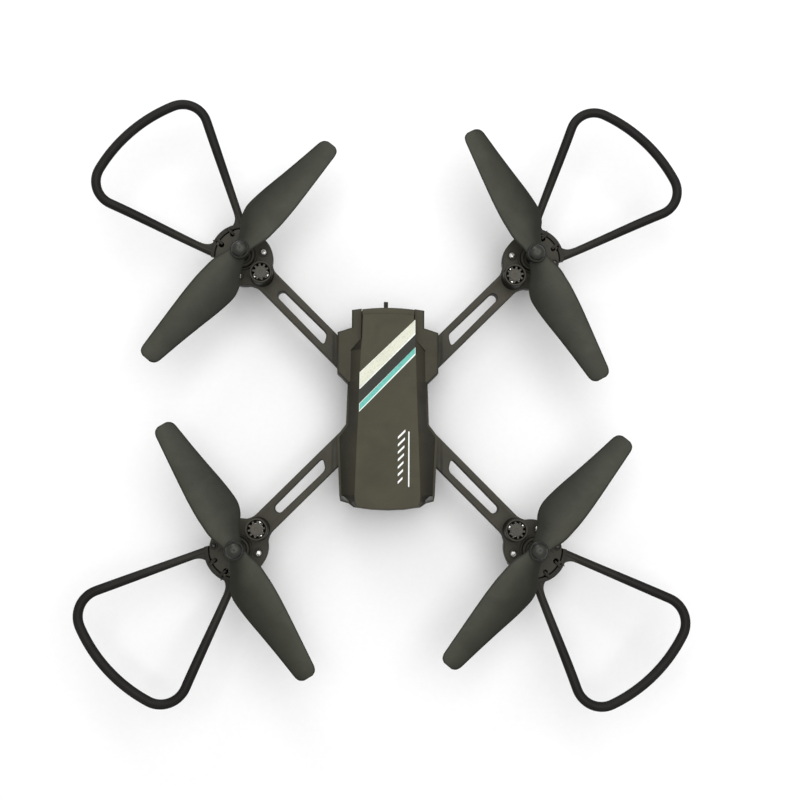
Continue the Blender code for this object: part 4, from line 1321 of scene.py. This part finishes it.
    def cup(self) -> None:
        """Gear cup with its foot, ribs and rubber tip."""
        low, high = levels(f"pod_cover_{self.name}")
        floor = low + self.leg_height
        radius = self.cup_radius
        inner = radius - self.cup_wall
        wall = [(0.0, floor), (radius - 2.4, floor), (radius - 1.0, floor + 0.35),
                (radius - 0.25, floor + 1.1), (radius, floor + 2.2), (radius, high - 0.25),
                (radius - 0.2, high), (inner + 0.2, high), (inner, high - 0.2),
                (inner, floor + 1.7), (inner - 0.3, floor + 1.4), (0.0, floor + 1.4)]
        motor_end = [(0.0, floor + 0.05), (4.7, floor + 0.05), (5.3, floor + 0.5),
                     (5.5, floor + 1.1), (5.5, high - 0.2), (5.3, high - 0.02),
                     (0.0, high - 0.02)]
        axis = (-self.sizes.tower_reach, 0.0)
        span = (floor + 1.4, high + 1.0)
        tower = carved(turned(motor_end, 40, axis),
                       [self.drill(inner, span, 48), self.drill(self.motor_hole, span, 32, axis)])
        cup = carved(turned(wall, 72), [self.drill(self.motor_hole, span, 32, axis)])
        leg = [(0.0, low + 1.9), (2.5, low + 1.9), (2.65, low + 2.3), (3.3, low + 6.5),
               (4.1, floor - 0.5), (4.8, floor + 0.05), (0.0, floor + 0.05)]
        foot = turned(leg, 36, (self.foot_reach, 0.0))
        ribs = []
        for k in range(6):
            turn = spin(math.tau * (k + 0.5) / 6.0)
            ribs.append(moved(block((4.6, 0.8, 0.7), (9.2, 0.0, floor - 0.1), 0.2, 2), turn))
        hub = [(2.6, -0.5), (3.2, -0.5), (3.4, -0.3), (3.4, 0.1), (2.4, 0.1), (2.4, -0.3)]
        ribs.append(turned(hub, 32, ring=True, level=floor))
        self.add([cup, tower, foot, *ribs], "gear_cup", self.palette.pod_cup,
                 "pod_cover_plastic", ["pod_cover"], 32.0)
        tip = turned([(0.0, 0.0), (1.75, 0.0), (2.1, 0.2), (2.45, 1.2), (2.6, 2.2), (2.3, 2.5),
                      (0.0, 2.5)], 32, (self.foot_reach, 0.0), level=low)
        self.add([tip], "foot_tip", self.palette.rubber, "dark_plastic")

    @staticmethod
    def drill(radius: float, span: Point2, steps: int, centre: Point2 = (0.0, 0.0)) -> Mesh:
        """Cutter for a round hollow between two levels."""
        low, high = span
        return turned([(0.0, low), (radius, low), (radius, high), (0.0, high)], steps, centre)

    def end_cap(self) -> None:
        """Notched end cap of the motor, with its dimple and crimp ring."""
        low, high = levels(f"motor_cap_{self.name}")
        outer, root, count = 4.12, 3.0, 10
        outline = []
        for k in range(count):
            step = 360.0 / count
            outline += arc((0.0, 0.0), outer, (k - 0.17) * step, (k + 0.17) * step, 3)
            outline += arc((0.0, 0.0), root, (k + 0.25) * step, (k + 0.75) * step, 3)
        disc = slab(outline, low, high, 0.12, 2, True)
        raised = turned([(0.0, -0.3), (0.45, -0.3), (0.7, -0.05), (0.95, 0.12), (2.7, 0.1),
                         (2.95, -0.05), (2.95, -0.3), (0.0, -0.3)], 40, level=high)
        shift = Matrix.Translation((-self.sizes.tower_reach, 0.0, 0.0))
        self.add([moved(disc, shift), moved(raised, shift)], "motor_end_cap",
                 self.palette.end_cap, "pod_cover_plastic", ["motor_cap"], 30.0)
        tabs = []
        for angle in (200.0, 80.0):
            turn = spin(math.radians(angle))
            tabs.append(moved(block((0.7, 1.2, 0.7), (3.75, 0.0, low + 0.1), 0.15, 2),
                              shift @ turn))
        self.add(tabs, "motor_tabs", self.palette.steel, "steel")

    def screw(self, place: Point2, radius: float, base: float, shank: float) -> Mesh:
        """Pan-head screw with a cross recess."""
        head = [(0.0, 0.95), (radius * 0.45, 0.9), (radius * 0.8, 0.7), (radius, 0.35),
                (radius, 0.05), (radius - 0.1, 0.0), (shank, 0.0), (shank, -3.6), (0.0, -4.2)]
        cross = [block((radius * 1.15, radius * 0.26, 1.0), (0.0, 0.0, base + 0.95), 0.03, 1),
                 block((radius * 0.26, radius * 1.15, 1.0), (0.0, 0.0, base + 0.951), 0.03, 1)]
        turn = spin(0.35 + place[1] * 0.11)
        return moved(carved(turned(head, 28, level=base), cross),
                     Matrix.Translation((*place, 0.0)) @ turn)

    def screws(self) -> None:
        """Two bright screws towards the body and two small dark ones towards the guard."""
        size = self.sizes
        base = size.top + 0.28
        for (u, v), radius, shank, name, finish, replaced in (
                (size.screw, SCREW_RADIUS, 0.75, "pod_screws", self.palette.steel, ["pod_screw"]),
                (size.dark_screw, DARK_SCREW_RADIUS, 0.6, "cup_screws", self.palette.black_steel,
                 [])):
            pair = [self.screw((u, sign * v), radius, base, shank) for sign in (1.0, -1.0)]
            self.add(pair, name, finish, "steel", replaced)

    def drive(self) -> None:
        """Finishes of the gear train, motor and leads, which keep their CAD shapes."""
        for node, finish in (("motor", self.palette.steel), ("motor_lead", self.palette.lead),
                             ("prop_shaft", self.palette.steel), ("spur_gear", self.palette.nylon),
                             ("pinion", self.palette.brass)):
            dress(f"{node}_{self.name}", finish)


@dataclass
class Guard:
    """Clip-on blade guard: crescent foot, two legs and a rim."""

    name: str
    palette: Palette
    sizes: ArmSizes
    reach: float = 81.8
    rim_radius: float = 75.0
    corner_radius: float = 12.5
    leg_start: Point2 = (11.4, 9.8)
    leg_angle: float = 23.5
    leg_width: float = 3.9
    rim_width: float = 4.6
    height: float = 3.4
    rise: float = 9.0
    rise_end: float = 60.0
    base_half_angle: float = 50.0
    turn: float = 0.0

    def path(self) -> list[Vector]:
        """Middle line from the left leg round the rim to the right leg."""
        angle = math.radians(self.leg_angle)
        start = Vector(self.leg_start)
        along = ray(angle)
        inward = Vector((math.sin(angle), -math.cos(angle)))
        hub = Vector((self.reach - self.rim_radius, 0.0))
        foot = start + inward * self.corner_radius - hub
        reach = self.rim_radius - self.corner_radius
        forward = foot.dot(along)
        length = -forward + math.sqrt(forward ** 2 - foot.length_squared + reach ** 2)
        centre = start + along * length + inward * self.corner_radius
        outward = (centre - hub).normalized()
        first = math.atan2(-inward.y, -inward.x)
        last = math.atan2(outward.y, outward.x)
        legs, bends, rims = 18, 14, 16
        half = [start + along * length * k / legs for k in range(legs)]
        half += [centre + self.corner_radius * ray(first + (last - first) * k / bends)
                 for k in range(bends)]
        half += [hub + self.rim_radius * ray(last * (1.0 - k / rims)) for k in range(rims + 1)]
        return half + [Vector((p.x, -p.y)) for p in reversed(half[:-1])]

    def section(self, share: float) -> list[Point2]:
        """Cross-section with a ridge along its top, from leg (0) to rim (1)."""
        w = (self.leg_width + (self.rim_width - self.leg_width) * share) / 2.0
        h = self.height / 2.0
        half = [(0.0, -h), (0.62 * w, -h), (0.86 * w, -0.82 * h), (w, -0.3 * h), (w, 0.25 * h),
                (0.9 * w, 0.55 * h), (0.55 * w, 0.72 * h), (0.36 * w, 0.94 * h), (0.2 * w, h)]
        return half + [(-x, y) for x, y in reversed(half[1:])]

    def loop(self) -> Mesh:
        """Legs and rim, swept along the path."""
        path = self.path()
        foot = self.sizes.top - self.height / 2.0
        rings = []
        for i, point in enumerate(path):
            ahead = path[min(i + 1, len(path) - 1)] - path[max(i - 1, 0)]
            side = Vector((ahead.y, -ahead.x)).normalized()
            share = (point.x - self.leg_start[0]) / (self.rise_end - self.leg_start[0])
            share = min(max(share, 0.0), 1.0)
            share = share * share * (3.0 - 2.0 * share)
            level = foot + self.rise * share
            rings.append([(point.x + side.x * a, point.y + side.y * a, level + b)
                          for a, b in self.section(share)])
        return bridged(rings)

    def foot(self) -> list[Mesh]:
        """Crescent, fillets into the legs, and the two snap straps."""
        top = self.sizes.top
        outer = arc((0.9, 0.0), 15.6, -self.base_half_angle, self.base_half_angle, 28)
        inner = arc((0.0, 0.0), self.sizes.plate_radius + 0.3, self.base_half_angle,
                    -self.base_half_angle, 28)
        parts = [slab(outer + inner, top - 4.2, top, 0.35, 3)]
        for sign in (-1.0, 1.0):
            start, turn, end = Vector((15.0, 6.6)), Vector((15.7, 9.6)), Vector((19.4, 11.1))
            outline = [*bend(start, turn, end, 8), (18.6, 12.3), (12.6, 9.7), (13.0, 6.2)]
            if sign < 0:
                outline = [(x, -y) for x, y in reversed(outline)]
            parts.append(slab(outline, top - 3.2, top - 0.1, 0.3, 2))
            u, v = self.sizes.peg
            strap = slab(rounded([(u - 1.0, v - 0.55), (15.0, v - 0.75), (15.0, v + 0.75),
                                  (u - 1.0, v + 0.55)], 0.5, 4), top + 0.08, top + 0.62, 0.15, 2)
            peg = turned([(0.0, -4.0), (0.45, -4.0), (0.7, -3.4), (0.6, 0.1), (0.0, 0.1)], 16,
                         (u, v), level=top)
            for part in (strap, peg):
                parts.append(moved(part, Matrix.Scale(sign, 4, (0.0, 1.0, 0.0))))
            parts.append(block((1.0, 1.5, 1.2), (14.9, sign * v, top + 0.05), 0.25, 2))
        return parts

    def build(self) -> None:
        """Builds the guard."""
        seat = spin(math.radians(self.turn))
        bm = moved(joined([self.loop(), *self.foot()]), pod_frame(self.name) @ seat)
        piece(bm, f"blade_guard_{self.name}", self.palette.guard, "airframe",
              [f"guard_{self.name}"], 50.0)


@dataclass
class Propeller:
    """Two-blade propeller and its spinner cap."""

    name: str
    blade_angle: float
    hand: Hand
    palette: Palette
    radius: float = 69.5
    hub_radius: float = 4.7
    thickness: float = 1.15
    camber: float = 0.08
    pitch: tuple[float, float] = (13.0, 7.0)
    outline: tuple[Point3, ...] = (
        (0.030, 4.2, -4.7), (0.075, 4.7, -5.9), (0.13, 6.0, -7.8), (0.19, 6.9, -10.9),
        (0.26, 7.2, -12.6), (0.33, 7.4, -12.7), (0.45, 7.2, -11.7), (0.60, 6.5, -9.9),
        (0.76, 5.6, -8.1), (0.90, 4.8, -6.7), (0.955, 4.4, -6.1), (0.985, 3.4, -5.0),
        (1.0, 1.6, -3.2))

    def stations(self) -> list[Point3]:
        """Blade outline with smooth steps between its stations."""
        points = [Vector(p) for p in self.outline]
        result = []
        for i, here in enumerate(points[:-1]):
            before = points[max(i - 1, 0)]
            after = points[i + 1]
            beyond = points[min(i + 2, len(points) - 1)]
            steps = 4 if i < len(points) - 4 else 3
            for k in range(steps):
                t = k / steps
                result.append(tuple(0.5 * (2 * here + (after - before) * t
                                           + (2 * before - 5 * here + 4 * after - beyond) * t ** 2
                                           + (3 * here - before - 3 * after + beyond) * t ** 3)))
        return result + [tuple(points[-1])]

    def blade(self, level: float) -> Mesh:
        """One blade along +X, turning counter-clockwise."""
        rings = []
        count = 22
        for share, lead, trail in self.stations():
            pitch = math.radians(self.pitch[0] + (self.pitch[1] - self.pitch[0]) * share)
            thick = self.thickness * (1.0 - 0.45 * share) / 2.0
            chord = lead - trail
            ring = []
            for k in range(count):
                angle = math.tau * k / count
                position = (1.0 - math.cos(angle)) / 2.0
                y = lead - chord * position
                bow = self.camber * chord * math.sin(math.pi * position ** 0.8)
                z = (level + y * math.tan(pitch) + bow * (1.0 - share * 0.4) * 0.8
                     + thick * math.sin(angle) * 0.95)
                ring.append((share * self.radius, y, z))
            rings.append(ring)
        return bridged(rings)

    def build(self) -> None:
        """Builds the propeller and its cap."""
        cap_low, cap_high = levels(f"spinner_cap_{self.name}")
        hub_top = cap_low - 0.3
        level = hub_top - 1.6
        blades = [moved(self.blade(level - 0.25), spin(turn))
                  for turn in (0.0, math.pi)]
        r = self.hub_radius
        hub = [(r - 0.25, -3.2), (r, -2.9), (r, -0.3), (r - 0.3, 0.0), (1.05, 0.0),
               (1.05, -3.2)]
        bm = joined([*blades, turned(hub, 48, ring=True, level=hub_top)])
        bm = moved(bm, Matrix.Scale(float(self.hand.value), 4, (0.0, 1.0, 0.0)))
        axis = middle(f"prop_shaft_{self.name}")
        place = Matrix.Translation((axis.x, axis.y, 0.0))
        turn = spin(math.radians(self.blade_angle))
        body = f"propeller_{self.name}"
        piece(moved(bm, place @ turn), f"blades_{self.name}", self.palette.blade, body,
              [f"propeller_{self.name}"], 40.0)
        dome = [(0.0, cap_high - 0.16), (0.4, cap_high - 0.14), (0.62, cap_high - 0.02),
                (1.0, cap_high)]
        skirt = cap_low + 0.9
        dome += [((r - 0.75) * math.sin(a), skirt + (cap_high - skirt) * math.cos(a))
                 for a in (math.pi / 2.0 * k / 9.0 for k in range(3, 10))]
        dome += [(r - 0.75, skirt - 0.4), (r - 0.45, skirt - 0.4), (r - 0.35, skirt - 0.1),
                 (r - 0.15, skirt), (r + 0.05, skirt - 0.15), (r + 0.05, cap_low + 0.1),
                 (r - 0.1, cap_low), (r - 0.9, cap_low), (r - 0.9, cap_low + 0.9),
                 (0.0, cap_low + 0.9)]
        cap = turned(dome, 56)
        piece(moved(cap, place), f"spinner_dome_{self.name}", self.palette.spinner, body,
              [f"spinner_cap_{self.name}"], 40.0)


# ---- whole drone ----------------------------------------------------------------------------
@dataclass
class PalmDrone:
    """The body and its four pods."""

    palette: Palette = field(default_factory=Palette)
    pods: tuple[tuple[End, Side, float, Hand, float], ...] = (
        (End.TAIL, Side.RIGHT, 50.0, Hand.CLOCKWISE, -2.3),
        (End.TAIL, Side.LEFT, 118.0, Hand.COUNTER_CLOCKWISE, 1.4),
        (End.NOSE, Side.RIGHT, 121.6, Hand.COUNTER_CLOCKWISE, -1.3),
        (End.NOSE, Side.LEFT, 50.5, Hand.CLOCKWISE, -1.7))

    def build(self) -> None:
        """Builds the body, then each pod."""
        Body(self.palette).build()
        for end, side, blade, hand, guard in self.pods:
            Pod(pod_name(side, end), side, end, blade, hand, guard, self.palette).build()


def main() -> None:
    """Builds the studio and the drone."""
    logging.basicConfig(level=logging.INFO, format="%(name)s: %(message)s")
    Studio().build()
    PalmDrone().build()


if __name__ == "__main__":
    main()
